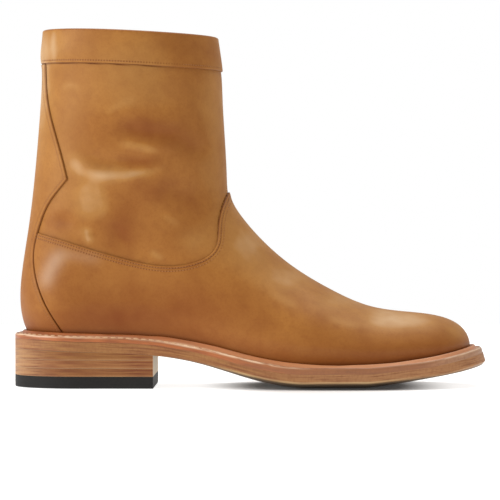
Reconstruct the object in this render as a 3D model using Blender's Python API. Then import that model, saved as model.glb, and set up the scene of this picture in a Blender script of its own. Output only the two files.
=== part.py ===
"""Roper boot for the right foot: a welted pull-on boot with a stacked leather heel.

The boot points along +X and stands on the floor at Z = 0. Its outer side faces -Y and its inner side +Y.
The leather is worked out in a side view: every point (x, z) inside the boot's outline has a half breadth
to either side of the last's centre line, so the tables below give the outline, the sections of the last
and the seams. Sizes are millimetres from the back of the sole (x = 0) and the floor (z = 0), and they are
turned into metres, with the origin under the middle of the sole, when a mesh is made.
"""

import bmesh
import bpy
import numpy as np

MM = 0.001

# Driving sizes: length of the sole, breadth of the leather at the ball, height of the instep halfway along
# the sole, and height of the heel at the back.
SOLE_LENGTH = 300.0
BALL_WIDTH = 98.0
INSTEP_HEIGHT = 99.3
HEEL_HEIGHT = 24.4

# Thicknesses and small sizes.
WALL = 2.2
PANEL = 1.1
CUFF = 1.5
CUFF_HEIGHT = 21.6
OUTSOLE = 6.3
WELT = 3.2
WELT_BEVEL = 0.8
TREAD_BEVEL = 0.9
INSOLE_RISE = 2.5
TOP_PIECE = 7.6
HEEL_LIFT = 4.8
HEEL_LIFTS = 3
HEEL_BREAST = 88.5
HEEL_CORNER = 1.0
TOE_SWING = 4.0

# Pieces that lie on each other are one gap apart, and pieces that meet edge to edge are a seam apart.
GAP = 0.3
SEAM = 0.45

# The tables are drawn for a boot of the sizes named here, and each column grows with its driving size.
LONG = SOLE_LENGTH / 300.0
WIDE = BALL_WIDTH / 98.0
HIGH = INSTEP_HEIGHT / 99.3
RAISED = HEEL_HEIGHT / 24.4

# The leather's back edge in the side view, from the sole to above the collar.
BACK_ROWS = (
    # x, z
    (10.6, 32.0),
    (7.4, 40.0),
    (5.6, 48.0),
    (5.0, 58.0),
    (6.4, 75.0),
    (10.2, 100.0),
    (14.9, 140.0),
    (17.8, 175.0),
    (18.9, 197.0),
    (17.7, 212.0),
    (19.4, 232.0),
)

# The leather's front edge in the side view, from the toe tip over the instep to above the collar.
FRONT_ROWS = (
    # x, z
    (289.2, 20.0),
    (288.9, 28.0),
    (286.6, 33.6),
    (281.0, 38.8),
    (268.0, 43.5),
    (247.0, 46.0),
    (227.0, 49.2),
    (200.6, 60.4),
    (175.2, 76.0),
    (157.4, 91.4),
    (144.4, 106.2),
    (137.0, 119.0),
    (135.4, 133.0),
    (132.7, 183.0),
    (131.9, 198.0),
    (130.6, 208.0),
    (127.6, 230.0),
)

# The collar's top edge in the side view.
COLLAR_ROWS = (
    # x, z
    (14.0, 226.4),
    (45.0, 225.6),
    (90.0, 223.6),
    (134.0, 221.6),
)

# Sections of the last along the foot: half breadths to the outer and inner side of the centre line, how far
# above the sole they are widest, and how deep the instep's crown is rounded.
LAST_ROWS = (
    # x, outer, inner, widest_at, crown
    (5.0, 33.5, 33.5, 22.0, 58.0),
    (60.0, 34.0, 33.5, 22.0, 58.0),
    (100.0, 34.5, 31.5, 22.0, 58.0),
    (130.0, 38.0, 32.5, 20.0, 57.0),
    (160.0, 44.0, 38.5, 17.0, 51.0),
    (190.0, 48.8, 45.5, 14.0, 44.0),
    (215.0, 49.0, 49.0, 13.0, 38.0),
    (240.0, 45.0, 46.5, 12.0, 33.0),
    (265.0, 37.0, 40.0, 10.0, 28.0),
    (290.0, 27.0, 31.0, 8.0, 25.0),
)

# Sections of the shaft up the leg: half breadth, and how deep its back is rounded.
SHAFT_ROWS = (
    # z, half, depth
    (30.0, 33.5, 35.0),
    (60.0, 34.0, 37.0),
    (100.0, 36.0, 46.0),
    (140.0, 39.5, 54.0),
    (180.0, 43.0, 58.0),
    (230.0, 45.5, 57.0),
)

# Sections of the sole: height of the tread's middle, how far its edges rise above that, and how far the sole
# reaches out from the foot of the leather.
SOLE_ROWS = (
    # x, tread, crown, reach
    (0.0, 24.4, 0.0, 10.4),
    (45.0, 22.9, 0.0, 6.6),
    (88.0, 21.0, 0.0, 6.4),
    (118.0, 15.4, 0.8, 6.6),
    (150.0, 5.8, 2.2, 7.3),
    (172.0, 1.0, 3.0, 7.9),
    (186.0, -0.2, 3.2, 8.3),
    (222.0, -0.2, 3.4, 8.8),
    (240.0, 2.0, 2.8, 9.2),
    (262.0, 5.7, 1.6, 9.8),
    (282.0, 10.2, 0.6, 10.5),
    (300.0, 15.0, 0.0, 10.9),
)

# The welt's section: how far out from the foot of the leather, and how far above the outsole. It is a shelf
# under the leather, a bead round it and a shallow stitched channel.
WELT_ROWS = (
    # out, up
    (-2.2, 0.0),
    (-2.2, 3.2),
    (1.9, 3.2),
    (3.0, 4.9),
    (3.8, 5.2),
    (4.9, 4.1),
    (5.7, 3.3),
)

# The back strip's front edge in the side view: up from the sole to its point, then on up to the cuff.
STRIP_FOOT_ROWS = (
    # x, z
    (33.5, 32.0),
    (27.8, 40.6),
    (19.4, 54.5),
    (14.0, 69.4),
    (12.5, 84.5),
    (15.3, 99.8),
    (22.3, 117.0),
    (28.0, 123.4),
    (35.7, 132.0),
)
STRIP_LEG_ROWS = (
    # x, z
    (35.7, 132.0),
    (32.3, 143.0),
    (27.5, 159.0),
    (22.0, 180.5),
    (20.2, 208.0),
)

# The vamp's top edge in the side view, from the back strip to its peak in front of the ankle.
VAMP_ROWS = (
    # x, z
    (14.6, 97.4),
    (33.0, 93.0),
    (53.0, 86.8),
    (73.0, 81.2),
    (92.0, 77.4),
    (106.0, 77.2),
    (118.0, 79.8),
    (126.0, 84.4),
    (129.6, 90.5),
    (130.3, 98.5),
    (131.0, 107.5),
    (133.2, 116.0),
    (136.6, 123.2),
)

# How the sections are shaped: the share of the widest breadth that the foot of the leather keeps, the heights
# above the sole where the shaft's sections begin to tell and where they rule alone, how round a section is,
# and where the centre line begins to swing.
FOOT_SHARE = 0.89
SHAFT_BEGINS = 22.0 * HIGH
SHAFT_RULES = 78.0 * HIGH
ROUNDNESS = 2.1
SWING_BEGINS = 110.0 * LONG

# The tread lies flat this share of the way from its middle to its edge.
FLAT_SHARE = 0.5

# How finely the leather is faceted: steps from back to front, and rings that crowd towards the sole.
STEPS = 24
RINGS = 22
RING_CROWDING = 1.25
TREAD_COLUMNS = 8
DECK_COLUMNS = 2

# Points along each cut, and along the lines that are measured.
CUFF_POINTS = 9
STRIP_POINTS = 14
VAMP_POINTS = 26
FOOT_POINTS = 30
SEAT_POINTS = 6
FINE_POINTS = 500

# The blocks that cut the overlays run on past the boot.
PAST = 20.0
BEHIND = -PAST
AHEAD = SOLE_LENGTH + PAST
ABOVE = COLLAR_ROWS[0][1] * HIGH + PAST

# Finishes: linear colour and roughness.
FINISHES = {
    "oiled_leather": ((0.400, 0.175, 0.048), 0.55),
    "welt_leather": ((0.480, 0.205, 0.095), 0.50),
    "sole_leather": ((0.430, 0.215, 0.105), 0.55),
    "insole_leather": ((0.560, 0.380, 0.220), 0.70),
    "top_rubber": ((0.022, 0.022, 0.022), 0.75),
}
SHARP_ANGLE = np.radians(40.0)


def graded(rows, *growth):
    """A table's rows, each column grown with its driving size."""
    return np.array(rows, float) * growth


def spline(rows, column, knot=0):
    """Natural cubic spline through one column of a table, as a function of its knot column."""
    x, y = rows[:, knot], rows[:, column]
    h = np.diff(x)
    system = np.eye(len(x))
    load = np.zeros(len(x))
    for i in range(1, len(x) - 1):
        system[i, i - 1 : i + 2] = h[i - 1], 2 * (h[i - 1] + h[i]), h[i]
        load[i] = 6 * ((y[i + 1] - y[i]) / h[i] - (y[i] - y[i - 1]) / h[i - 1])
    bend = np.linalg.solve(system, load)

    def value(at):
        at = np.clip(np.asarray(at, float), x[0], x[-1])
        i = np.clip(np.searchsorted(x, at) - 1, 0, len(x) - 2)
        before, after = (at - x[i]) / h[i], (x[i + 1] - at) / h[i]
        bow = (after**3 - after) * bend[i] + (before**3 - before) * bend[i + 1]
        return after * y[i] + before * y[i + 1] + bow * h[i] ** 2 / 6

    return value


def line(points):
    """Smooth line through side-view points, as a function of the share of its length from 0 to 1."""
    lengths = np.append(0.0, np.cumsum(np.hypot(*np.diff(points, axis=0).T)))
    rows = np.column_stack([lengths / lengths[-1], points])
    across, up = spline(rows, 1), spline(rows, 2)

    def point(share):
        return np.stack([across(share), up(share)], axis=-1)

    return point


def smooth_step(value, low, high):
    """0 below low, 1 above high, and an S-shaped rise between them."""
    share = np.clip((value - low) / (high - low), 0.0, 1.0)
    return share * share * (3 - 2 * share)


def rounded(share):
    """A section's half breadth, from 0 at its edge to 1 at its full depth: part of a superellipse."""
    inward = 1 - np.clip(share, 0.0, 1.0)
    return (1 - inward**ROUNDNESS) ** (1 / ROUNDNESS)


def even(count):
    """Shares from 0 to 1 in even steps."""
    return np.linspace(0.0, 1.0, count)


BACK = graded(BACK_ROWS, LONG, HIGH)
LAST = graded(LAST_ROWS, LONG, WIDE, WIDE, HIGH, LONG)
SHAFT = graded(SHAFT_ROWS, HIGH, WIDE, LONG)
SOLE = graded(SOLE_ROWS, LONG, RAISED, 1.0, 1.0)

back_x = spline(BACK, 0, knot=1)
back_line = line(BACK)
front_line = line(graded(FRONT_ROWS, LONG, HIGH))
collar_z = spline(graded(COLLAR_ROWS, LONG, HIGH), 1)
strip_foot = line(graded(STRIP_FOOT_ROWS, LONG, HIGH))
strip_leg = line(graded(STRIP_LEG_ROWS, LONG, HIGH))
vamp_top = line(graded(VAMP_ROWS, LONG, HIGH))
outer_breadth, inner_breadth, widest_at, crown_depth = (spline(LAST, column) for column in (1, 2, 3, 4))
shaft_half, shaft_depth = (spline(SHAFT, column) for column in (1, 2))
sole_tread, sole_crown, sole_reach = (spline(SOLE, column) for column in (1, 2, 3))
FRONT_EDGE = front_line(even(FINE_POINTS))


def tread_z(x):
    """Height of the middle of the tread, flat on the floor under the ball of the foot."""
    return np.maximum(sole_tread(x), 0.0)


def outsole_top(x):
    return tread_z(x) + sole_crown(x) + OUTSOLE


def feather_z(x):
    """Height of the foot of the leather, on the welt's shelf."""
    return outsole_top(x) + GAP + WELT + GAP


def cuff_foot_z(x):
    return collar_z(x) - CUFF_HEIGHT


def strip_top_z(x):
    return cuff_foot_z(x) - GAP


def centre_y(x):
    """The last's centre line, which swings to the inner side towards the toe."""
    return TOE_SWING * smooth_step(x, SWING_BEGINS, SOLE_LENGTH)


def front_distance(x, z):
    """Distance of side-view points from the leather's front edge."""
    points = np.stack([x, z], axis=-1)[..., None, :]
    start, run = FRONT_EDGE[:-1], np.diff(FRONT_EDGE, axis=0)
    along = np.clip(((points - start) * run).sum(-1) / (run * run).sum(-1), 0.0, 1.0)
    return np.linalg.norm(points - start - along[..., None] * run, axis=-1).min(-1)


def half_breadth(x, z, last_breadth):
    """Half breadth of the leather at side-view points, to the side whose last breadth is given.

    The last's breadth gives way to the shaft's up the leg, tucks in at the foot of the leather, and is
    rounded off to nothing at the back and front edges.
    """
    rise = z - feather_z(x)
    shaft_share = smooth_step(rise, SHAFT_BEGINS, SHAFT_RULES)
    widest = last_breadth(x) * (1 - shaft_share) + shaft_half(z) * shaft_share
    tuck = FOOT_SHARE + (1 - FOOT_SHARE) * smooth_step(rise, 0.0, widest_at(x))
    back = rounded((x - back_x(z)) / shaft_depth(z))
    front = rounded(front_distance(x, z) / crown_depth(x))
    return widest * tuck * back * front


def crossing(point, height):
    """The share along a rising line where it first climbs past a height that depends on x."""
    shares = even(FINE_POINTS)
    x, z = point(shares).T
    over = z - height(x)
    first = np.argmax(over > 0)
    return np.interp(0.0, over[first - 1 : first + 1], shares[first - 1 : first + 1])


def between(point, low_height, high_height, shares):
    """Points of a rising line from where it passes one height to where it passes another."""
    low, high = crossing(point, low_height), crossing(point, high_height)
    return point(low + (high - low) * shares)


def at_height(height, start, end, shares):
    """Side-view points from one x to another, at a height that depends on x."""
    x = start + (end - start) * shares
    return np.stack([x, height(x)], axis=-1)


def leather_side_view():
    """Side-view points of the leather, rings by steps: a patch between its foot, collar, back and front."""
    up = even(RINGS) ** RING_CROWDING
    along = (1 - np.cos(np.pi * even(STEPS + 1))) / 2
    back = between(back_line, feather_z, collar_z, up)
    front = between(front_line, feather_z, collar_z, up)
    foot = at_height(feather_z, back[0, 0], front[0, 0], along)
    top = at_height(collar_z, back[-1, 0], front[-1, 0], along)
    v, s = up[:, None, None], along[None, :, None]
    ruled = (1 - v) * foot + v * top + (1 - s) * back[:, None] + s * front[:, None]
    corners = (1 - s) * ((1 - v) * foot[0] + v * top[0]) + s * ((1 - v) * foot[-1] + v * top[-1])
    return ruled - corners


def leather_rings():
    """The leather's outer face as rings of points: back, outer side, front, inner side."""
    x, z = np.moveaxis(leather_side_view(), -1, 0)
    sides = []
    for last_breadth, sign in ((outer_breadth, -1.0), (inner_breadth, 1.0)):
        breadth = half_breadth(x, z, last_breadth)
        breadth[:, [0, -1]] = 0.0
        sides.append(np.stack([x, centre_y(x) + sign * breadth, z], axis=-1))
    return np.concatenate([sides[0], sides[1][:, -2:0:-1]], axis=1)


LEATHER = leather_rings()


def plan_outline(out):
    """The foot of the leather in plan, moved outwards by a distance for each point."""
    foot = LEATHER[0, :, :2]
    tangent = np.roll(foot, -1, axis=0) - np.roll(foot, 1, axis=0)
    tangent[0], tangent[STEPS] = (0.0, -1.0), (0.0, 1.0)
    normal = np.stack([tangent[:, 1], -tangent[:, 0]], axis=-1)
    normal /= np.linalg.norm(normal, axis=1)[:, None]
    return foot + normal * np.reshape(out, (-1, 1))


REACH = sole_reach(LEATHER[0, :, 0])
SOLE_OUTLINE = plan_outline(REACH)
ORIGIN = np.append((SOLE_OUTLINE.min(0) + SOLE_OUTLINE.max(0)) / 2, 0.0)


def finish(name, finish_name):
    """A piece's own material, with the colour and roughness of a finish."""
    colour, roughness = FINISHES[finish_name]
    material = bpy.data.materials.new(f"{name}_{finish_name}")
    material.use_nodes = True
    shader = material.node_tree.nodes["Principled BSDF"]
    shader.inputs["Base Color"].default_value = (*colour, 1.0)
    shader.inputs["Roughness"].default_value = roughness
    shader.inputs["Metallic"].default_value = 0.0
    return material


def solid(name, make_mesh, finish_name):
    """One named object whose mesh is modelled in millimetres."""
    bm = bmesh.new()
    make_mesh(bm)
    bmesh.ops.translate(bm, verts=bm.verts, vec=-ORIGIN)
    bmesh.ops.scale(bm, verts=bm.verts, vec=(MM, MM, MM))
    mesh = bpy.data.meshes.new(name)
    bm.to_mesh(mesh)
    bm.free()
    mesh.shade_smooth()
    mesh.set_sharp_from_angle(angle=SHARP_ANGLE)
    mesh.materials.append(finish(name, finish_name))
    made = bpy.data.objects.new(name, mesh)
    bpy.context.scene.collection.objects.link(made)
    return made


def add_ring(bm, points):
    return [bm.verts.new(point) for point in points]


def lay(outline, height):
    """Points of a plan outline at heights worked out from their x."""
    return np.column_stack([outline, height(outline[:, 0])])


def bridge(bm, lower, upper):
    """Quads between two rings of as many points; they face out where the rings turn anticlockwise."""
    for k in range(len(lower)):
        after = (k + 1) % len(lower)
        bm.faces.new((lower[k], lower[after], upper[after], upper[k]))


def deck(bm, ring, height, columns, facing_up):
    """Fills a ring from side to side, with points at height(x, share from the middle to the edge)."""
    rows = [[ring[0]] * (columns + 1)]
    for outer, inner in zip(ring[1:STEPS], ring[:STEPS:-1]):
        row = [outer]
        for j in range(1, columns):
            place = outer.co.lerp(inner.co, j / columns)
            place.z = height(place.x, abs(2 * j / columns - 1))
            row.append(bm.verts.new(place))
        rows.append([*row, inner])
    rows.append([ring[STEPS]] * (columns + 1))
    for near, far in zip(rows[:-1], rows[1:]):
        for j in range(columns):
            corners = list(dict.fromkeys((near[j], far[j], far[j + 1], near[j + 1])))
            bm.faces.new(corners if facing_up else corners[::-1])


def make_leather(bm, out=0.0):
    """The leather's outer face, or a face that distance outside it."""
    rings = [add_ring(bm, ring) for ring in LEATHER]
    for lower, upper in zip(rings[:-1], rings[1:]):
        bridge(bm, lower, upper)
    bm.normal_update()
    for vert in bm.verts:
        vert.co += vert.normal * out


def thicken(made, thickness, outwards):
    wall = made.modifiers.new("wall", "SOLIDIFY")
    wall.thickness = thickness * MM
    wall.offset = 1.0 if outwards else -1.0
    wall.use_even_offset = True
    wall.use_rim = True


def build_upper():
    """The shaft and lasted foot: one wall, open at the collar and underneath."""
    thicken(solid("upper", make_leather, "oiled_leather"), WALL, outwards=False)


def side_view_cutter(name, outline):
    """A hidden block that runs right across the boot, with an outline drawn in the side view."""

    def make(bm):
        face = bm.faces.new([bm.verts.new((x, -BALL_WIDTH, z)) for x, z in outline])
        run = bmesh.ops.extrude_face_region(bm, geom=[face])
        moved = [item for item in run["geom"] if isinstance(item, bmesh.types.BMVert)]
        bmesh.ops.translate(bm, verts=moved, vec=(0.0, 2 * BALL_WIDTH, 0.0))
        bmesh.ops.recalc_face_normals(bm, faces=bm.faces)

    cutter = solid(name, make, "oiled_leather")
    cutter.hide_render = True
    cutter.display_type = "WIRE"
    return cutter


def build_panel(name, thickness, outline):
    """An overlay cut out of a jacket that lies just outside the upper."""
    panel = solid(name, lambda bm: make_leather(bm, GAP), "oiled_leather")
    thicken(panel, thickness, outwards=True)
    cut = panel.modifiers.new("outline", "BOOLEAN")
    cut.operation = "INTERSECT"
    cut.solver = "EXACT"
    cut.object = side_view_cutter(name + "_outline", outline)


def build_panels():
    """The cuff, the back strip and the vamp: each is a step proud of the upper and ends short of the next."""
    cuff_foot = at_height(cuff_foot_z, BEHIND, AHEAD, even(CUFF_POINTS))
    build_panel("cuff", CUFF, [*cuff_foot, (AHEAD, ABOVE), (BEHIND, ABOVE)])

    start = crossing(strip_foot, feather_z)
    foot_edge = strip_foot(start + (1 - start) * even(STRIP_POINTS))
    leg_edge = strip_leg(crossing(strip_leg, strip_top_z) * even(STRIP_POINTS))
    heel_seat = at_height(feather_z, BEHIND, foot_edge[0, 0], even(SEAT_POINTS))
    strip = [*heel_seat, *foot_edge[1:], *leg_edge[1:], (BEHIND, leg_edge[-1, 1])]
    build_panel("back_strip", PANEL, strip)

    vamp_edge = vamp_top(even(VAMP_POINTS))
    seam = foot_edge[foot_edge[:, 1] < vamp_edge[0, 1]] + (SEAM, 0.0)
    vamp_foot = at_height(feather_z, AHEAD, seam[0, 0], even(FOOT_POINTS))
    vamp = [*seam, *vamp_edge[1:], (AHEAD, vamp_edge[-1, 1]), *vamp_foot[:-1]]
    build_panel("vamp", PANEL, vamp)


def build_welt():
    """The welt's section carried round the foot of the leather, out to the sole's edge."""
    section = [(np.full(len(REACH), out), up) for out, up in WELT_ROWS]
    section += [(REACH - WELT_BEVEL, WELT), (REACH, WELT - WELT_BEVEL), (REACH, 0.0)]

    def make(bm):
        rings = []
        for out, up in section:
            rings.append(add_ring(bm, lay(plan_outline(out), outsole_top) + (0.0, 0.0, GAP + up)))
        for inner, outer in zip(rings, rings[1:] + rings[:1]):
            bridge(bm, outer, inner)

    solid("welt", make, "welt_leather")


def build_outsole():
    """The outsole: flat across on top, crowned across underneath, with a flat spot under the ball."""

    def top_z(x, share=0.0):
        return outsole_top(x)

    def tread(x, share=1.0):
        edge = np.maximum(share - FLAT_SHARE, 0.0) / (1 - FLAT_SHARE)
        return tread_z(x) + sole_crown(x) * edge**2

    def side_z(x):
        return tread(x) + TREAD_BEVEL

    def make(bm):
        top, side = (add_ring(bm, lay(SOLE_OUTLINE, height)) for height in (top_z, side_z))
        foot = add_ring(bm, lay(plan_outline(REACH - TREAD_BEVEL), tread))
        bridge(bm, side, top)
        bridge(bm, foot, side)
        deck(bm, top, top_z, DECK_COLUMNS, facing_up=True)
        deck(bm, foot, tread, TREAD_COLUMNS, facing_up=False)

    solid("outsole", make, "sole_leather")


def build_insole():
    """The insole: it lies on the outsole, inside the welt and the upper."""
    outline = plan_outline(np.full(len(REACH), -WALL - SEAM))

    def top_z(x, share=0.0):
        return feather_z(x) + INSOLE_RISE

    def foot_z(x, share=0.0):
        return outsole_top(x) + GAP

    def make(bm):
        top, foot = (add_ring(bm, lay(outline, height)) for height in (top_z, foot_z))
        bridge(bm, foot, top)
        deck(bm, top, top_z, DECK_COLUMNS, facing_up=True)
        deck(bm, foot, foot_z, DECK_COLUMNS, facing_up=False)

    solid("insole", make, "insole_leather")


def heel_outline():
    """The sole's outline behind the heel breast, closed by the straight breast."""
    sides = []
    for half in (SOLE_OUTLINE[: STEPS + 1], SOLE_OUTLINE[-np.arange(STEPS + 1)]):
        behind = half[half[:, 0] < HEEL_BREAST - HEEL_CORNER]
        corner = HEEL_BREAST, np.interp(HEEL_BREAST, half[:, 0], half[:, 1])
        sides.append([*behind, corner])
    return np.array(sides[0] + sides[1][:0:-1])


def build_heel():
    """The rubber top piece on the floor, and leather lifts up to the outsole; the highest lift is a wedge."""
    outline = heel_outline()

    def level(z):
        return lambda x: np.full(np.shape(x), z)

    def seat(x):
        return tread_z(x) - GAP

    def build_layer(name, low, high, finish_name):
        def make(bm):
            foot, top = (add_ring(bm, lay(outline, height)) for height in (low, high))
            bridge(bm, foot, top)
            bm.faces.new(top)
            bm.faces.new(foot[::-1])

        solid(name, make, finish_name)

    build_layer("heel_top_piece", level(0.0), level(TOP_PIECE), "top_rubber")
    low = TOP_PIECE + GAP
    for number in range(HEEL_LIFTS, 0, -1):
        high = seat if number == 1 else level(low + HEEL_LIFT)
        build_layer(f"heel_lift_{number}", level(low), high, "sole_leather")
        low += HEEL_LIFT + GAP


def main():
    for old in list(bpy.data.objects):
        bpy.data.objects.remove(old)
    build_upper()
    build_panels()
    build_welt()
    build_outsole()
    build_insole()
    build_heel()


main()
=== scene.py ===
"""Looks of the roper boot: oiled leather upper, stitched welt, leather sole and stacked heel.

Sizes are millimetres from the back of the sole (x = 0) and the floor (z = 0), drawn as the solids are, and
they become metres in the frame when a piece is made. The leather is worked out in a side view: every point
(x, z) inside the outline has a half breadth to either side of the last's centre line, so a panel is a patch
of the side view that is carried over both sides of the boot and lifted off the last.
"""

from functools import partial

import bmesh
import bpy
import numpy as np
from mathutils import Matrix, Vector


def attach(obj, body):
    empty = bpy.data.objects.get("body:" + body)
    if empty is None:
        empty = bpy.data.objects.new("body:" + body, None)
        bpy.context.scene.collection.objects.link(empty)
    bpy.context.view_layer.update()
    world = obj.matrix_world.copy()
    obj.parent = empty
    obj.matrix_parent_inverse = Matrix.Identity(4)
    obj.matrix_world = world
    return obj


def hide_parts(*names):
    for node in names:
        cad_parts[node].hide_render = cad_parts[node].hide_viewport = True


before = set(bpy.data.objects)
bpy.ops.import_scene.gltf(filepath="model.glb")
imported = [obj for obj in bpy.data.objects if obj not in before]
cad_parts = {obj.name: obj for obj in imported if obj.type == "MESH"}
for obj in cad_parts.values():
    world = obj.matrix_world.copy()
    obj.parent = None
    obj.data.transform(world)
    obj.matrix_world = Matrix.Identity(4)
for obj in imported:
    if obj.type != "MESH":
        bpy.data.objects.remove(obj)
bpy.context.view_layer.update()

MM = 0.001

# The frame's origin in these sizes: on the floor, in the middle of the sole's length and breadth.
ORIGIN = np.array((150.127, 2.102, 0.0))
SOLE_LENGTH = 300.0

# Thicknesses and small sizes of the leather.
WALL = 2.2
LINING = 0.8
PANEL = 1.1
CUFF = 0.9
CUFF_HEIGHT = 21.6
CUFF_BULGE = 0.1
CUFF_FACING = 12.0
CUFF_ROLL = 1.3
CUFF_CORNER = 0.3
CUFF_FACING_CORNER = 0.4
CUFF_EDGE_SHARES = (0.6, 0.9)
CUFF_SIDE_STARTS = 1.0
RIM_DROP = 2.6
GAP = 0.3
SEAM = 0.45
VAMP_EDGE_SHARE = 0.4
STRIP_EDGE_SHARE = 0.1
EDGE_ROUND = 0.8

# Thicknesses and small sizes of the sole and heel.
OUTSOLE = 6.3
WELT = 3.2
WELT_BEVEL = 0.8
WELT_SEAT = 0.1
WELT_DIP = 0.3
WELT_FOOT_INSET = 0.3
WELT_EDGE_MIDDLE = 0.5
TOE_LEAN = 0.25
TOE_DROP = 0.9
TREAD_BEVEL = 0.9
INSOLE_RISE = 2.5
TOP_PIECE = 7.2
HEEL_LIFT = 4.9
HEEL_LIFTS = 3
HEEL_BREAST = 89.9
LAYER_BEVEL = 0.08
RUBBER_BEVEL = 0.3
LAYER_GAP = 0.04
TOE_SWING = 4.0

# Where along the boot a trait of the sole's edge sets in, and where it is full.
LEAN_RUN = (240.0, 285.0)
LIP_BEVEL_RUN = (250.0, 290.0)
TREAD_BEVEL_RUN = (HEEL_BREAST, HEEL_BREAST + 14.0)
TOE_BEVEL_RUN = (265.0, 292.0)
TOE_DROP_RUN = (255.0, 295.0)
WELT_EDGE_RUN = (120.0, 200.0)
WELT_SANDED_AND_HIGHLIGHT_RUN = (250.0, 288.0)
FOOT_LINE_RUN = (115.0, 165.0)
FOOT_LINE_ENDS = (235.0, 265.0)
SANDED_RUN = (140.0, 210.0)
SANDED_BACK_RUN = (26.0, 2.0)

# The marks on the sole's edge: how strong the pale line at its foot is, how much of it wears off, how strong
# it is on the lifts and over what height it fades, then how far the edge was sanded again along the sole, at
# its back and on the lifts.
FOOT_LINE = 0.7
FOOT_LINE_WORN = 0.8
LIFT_LINE = 0.3
LINE_FADE = 0.4
SANDED = 0.75
SANDED_BACK = 0.6
LIFT_SANDED = 0.55

# The marks on the welt: how strong its crease (dark wax and painted shade), edge and sanding (at the toe
# also a painted highlight) are, where its crease lies, how the edge's colour sets in past the channel, and
# where the painted glint on its corner lies.
WELT_CREASE = 0.9
WELT_EDGE = 0.9
WELT_SANDED_AND_HIGHLIGHT = 0.7
CREASE_RUN = (3.1, 1.2)
EDGE_BLEND = (-0.8, 0.4)
GLINT_INSET = 0.5
GLINT_HALF_WIDTH = 0.6
GLINT_HEIGHTS = (1.6, 2.4)

# Leathers of the sole: colours of the edge's light and mid tones, its streaks, the bare faces (on the outsole
# dark, as painted shade under the boot), the line at its foot and its sanded stretches, then how strong the
# knife's marks are and how high the line stands.
LIFT_FINISH = ("#CBB593", "#B88C5C", "#BE9468", 0.12, 0.8)
SOLE_FINISHES = {
    "trimmed_sole_leather": ("#9C6C3C", "#885632", "#703C1C", "#5A4630", "#D6BA88", "#AC7A50", 0.3, 1.6),
    "plain_insole_leather": ("#C9A679", "#BC976A", "#A9855A", "#CDB48C", "#C9A679", "#C9A679", 0.0, 0.6),
    "stacked_heel_leather_1": ("#90602F", "#78431E", "#642C10", *LIFT_FINISH),
    "stacked_heel_leather_2": ("#966437", "#7A4420", "#642A10", *LIFT_FINISH),
    "stacked_heel_leather_3": ("#8A592D", "#723D1A", "#5C240C", *LIFT_FINISH),
}

# How the sections are shaped: the share of the widest breadth that the foot of the leather keeps, the heights
# above the sole where the shaft's sections begin to tell and where they rule alone, how round a section is,
# where the centre line begins to swing, and how far across the tread lies flat.
FOOT_SHARE = 0.89
SHAFT_BEGINS = 22.0
SHAFT_RULES = 78.0
ROUNDNESS = 2.1
SWING_BEGINS = 110.0
FLAT_SHARE = 0.5

# The leather's back edge, front edge and collar in the side view.
BACK_ROWS = (
    # x, z
    (10.6, 32), (7.4, 40), (5.6, 48), (5, 58), (6.4, 75), (10.2, 100), (14.9, 140), (17.8, 175),
    (18.9, 197), (18.7, 202.5), (18, 207.5), (18.5, 217), (19.6, 232),
)
FRONT_ROWS = (
    # x, z
    (289.2, 20), (288.9, 28), (286.6, 33.6), (281, 38.8), (268, 43.5), (247, 46), (227, 49.2),
    (200.6, 60.4), (175.2, 76), (157.4, 91.4), (144.4, 106.2), (137, 119), (135.4, 133), (132.7, 183),
    (131.9, 198), (130.6, 208), (127.6, 230),
)
COLLAR_ROWS = (
    # x, z
    (14, 226.4), (45, 225.6), (90, 223.6), (134, 221.6),
)

# Sections of the last along the foot, of the shaft up the leg, and of the sole.
LAST_ROWS = (
    # x, outer, inner, widest_at, crown
    (5, 33.5, 33.5, 22, 58),
    (60, 34, 33.5, 22, 58),
    (100, 34.5, 31.5, 22, 58),
    (130, 38, 32.5, 20, 57),
    (160, 44, 38.5, 17, 51),
    (190, 48.8, 45.5, 14, 44),
    (215, 49, 49, 13, 38),
    (240, 45, 46.5, 12, 33),
    (265, 37, 40, 10, 28),
    (290, 27, 31, 8, 25),
)
SHAFT_ROWS = (
    # z, half, depth
    (30, 33.5, 35),
    (60, 34, 37),
    (100, 36, 46),
    (140, 39.5, 54),
    (180, 43, 58),
    (230, 45.5, 57),
)
SOLE_ROWS = (
    # x, tread, crown, reach
    (0, 24.4, 0, 10.4),
    (45, 22.9, 0, 6.6),
    (88, 21, 0, 6.4),
    (118, 15.4, 0.8, 6.6),
    (150, 5.8, 2.2, 7.3),
    (172, 1, 3, 7.9),
    (186, -0.2, 3.2, 8.3),
    (222, -0.2, 3.4, 8.8),
    (240, 2, 2.8, 9.2),
    (262, 5.7, 1.6, 9.8),
    (282, 10.2, 0.6, 10.7),
    (300, 15, 0, 12),
)

# The welt's section from its inner foot over the shelf, bead and channel, up to where the edge is trimmed,
# with the share of the channel's depth, of the bead's climb and of the lip's climb that each point takes.
WELT_ROWS = (
    # out, up, sinks, with_bead, with_lip
    (-2.2, 0, 0, 0, 0),
    (-2.2, 3.2, 0, 0, 0),
    (1.9, 3.2, 0, 0, 0),
    (3, 4.9, 0, 1, 0),
    (3.8, 5.2, 0, 1, 0),
    (4.9, 4.1, 0.5, 0.5, 0.5),
    (5.7, 3.3, 1, 0, 1),
)
CHANNEL_SHARE = 0.6
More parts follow.
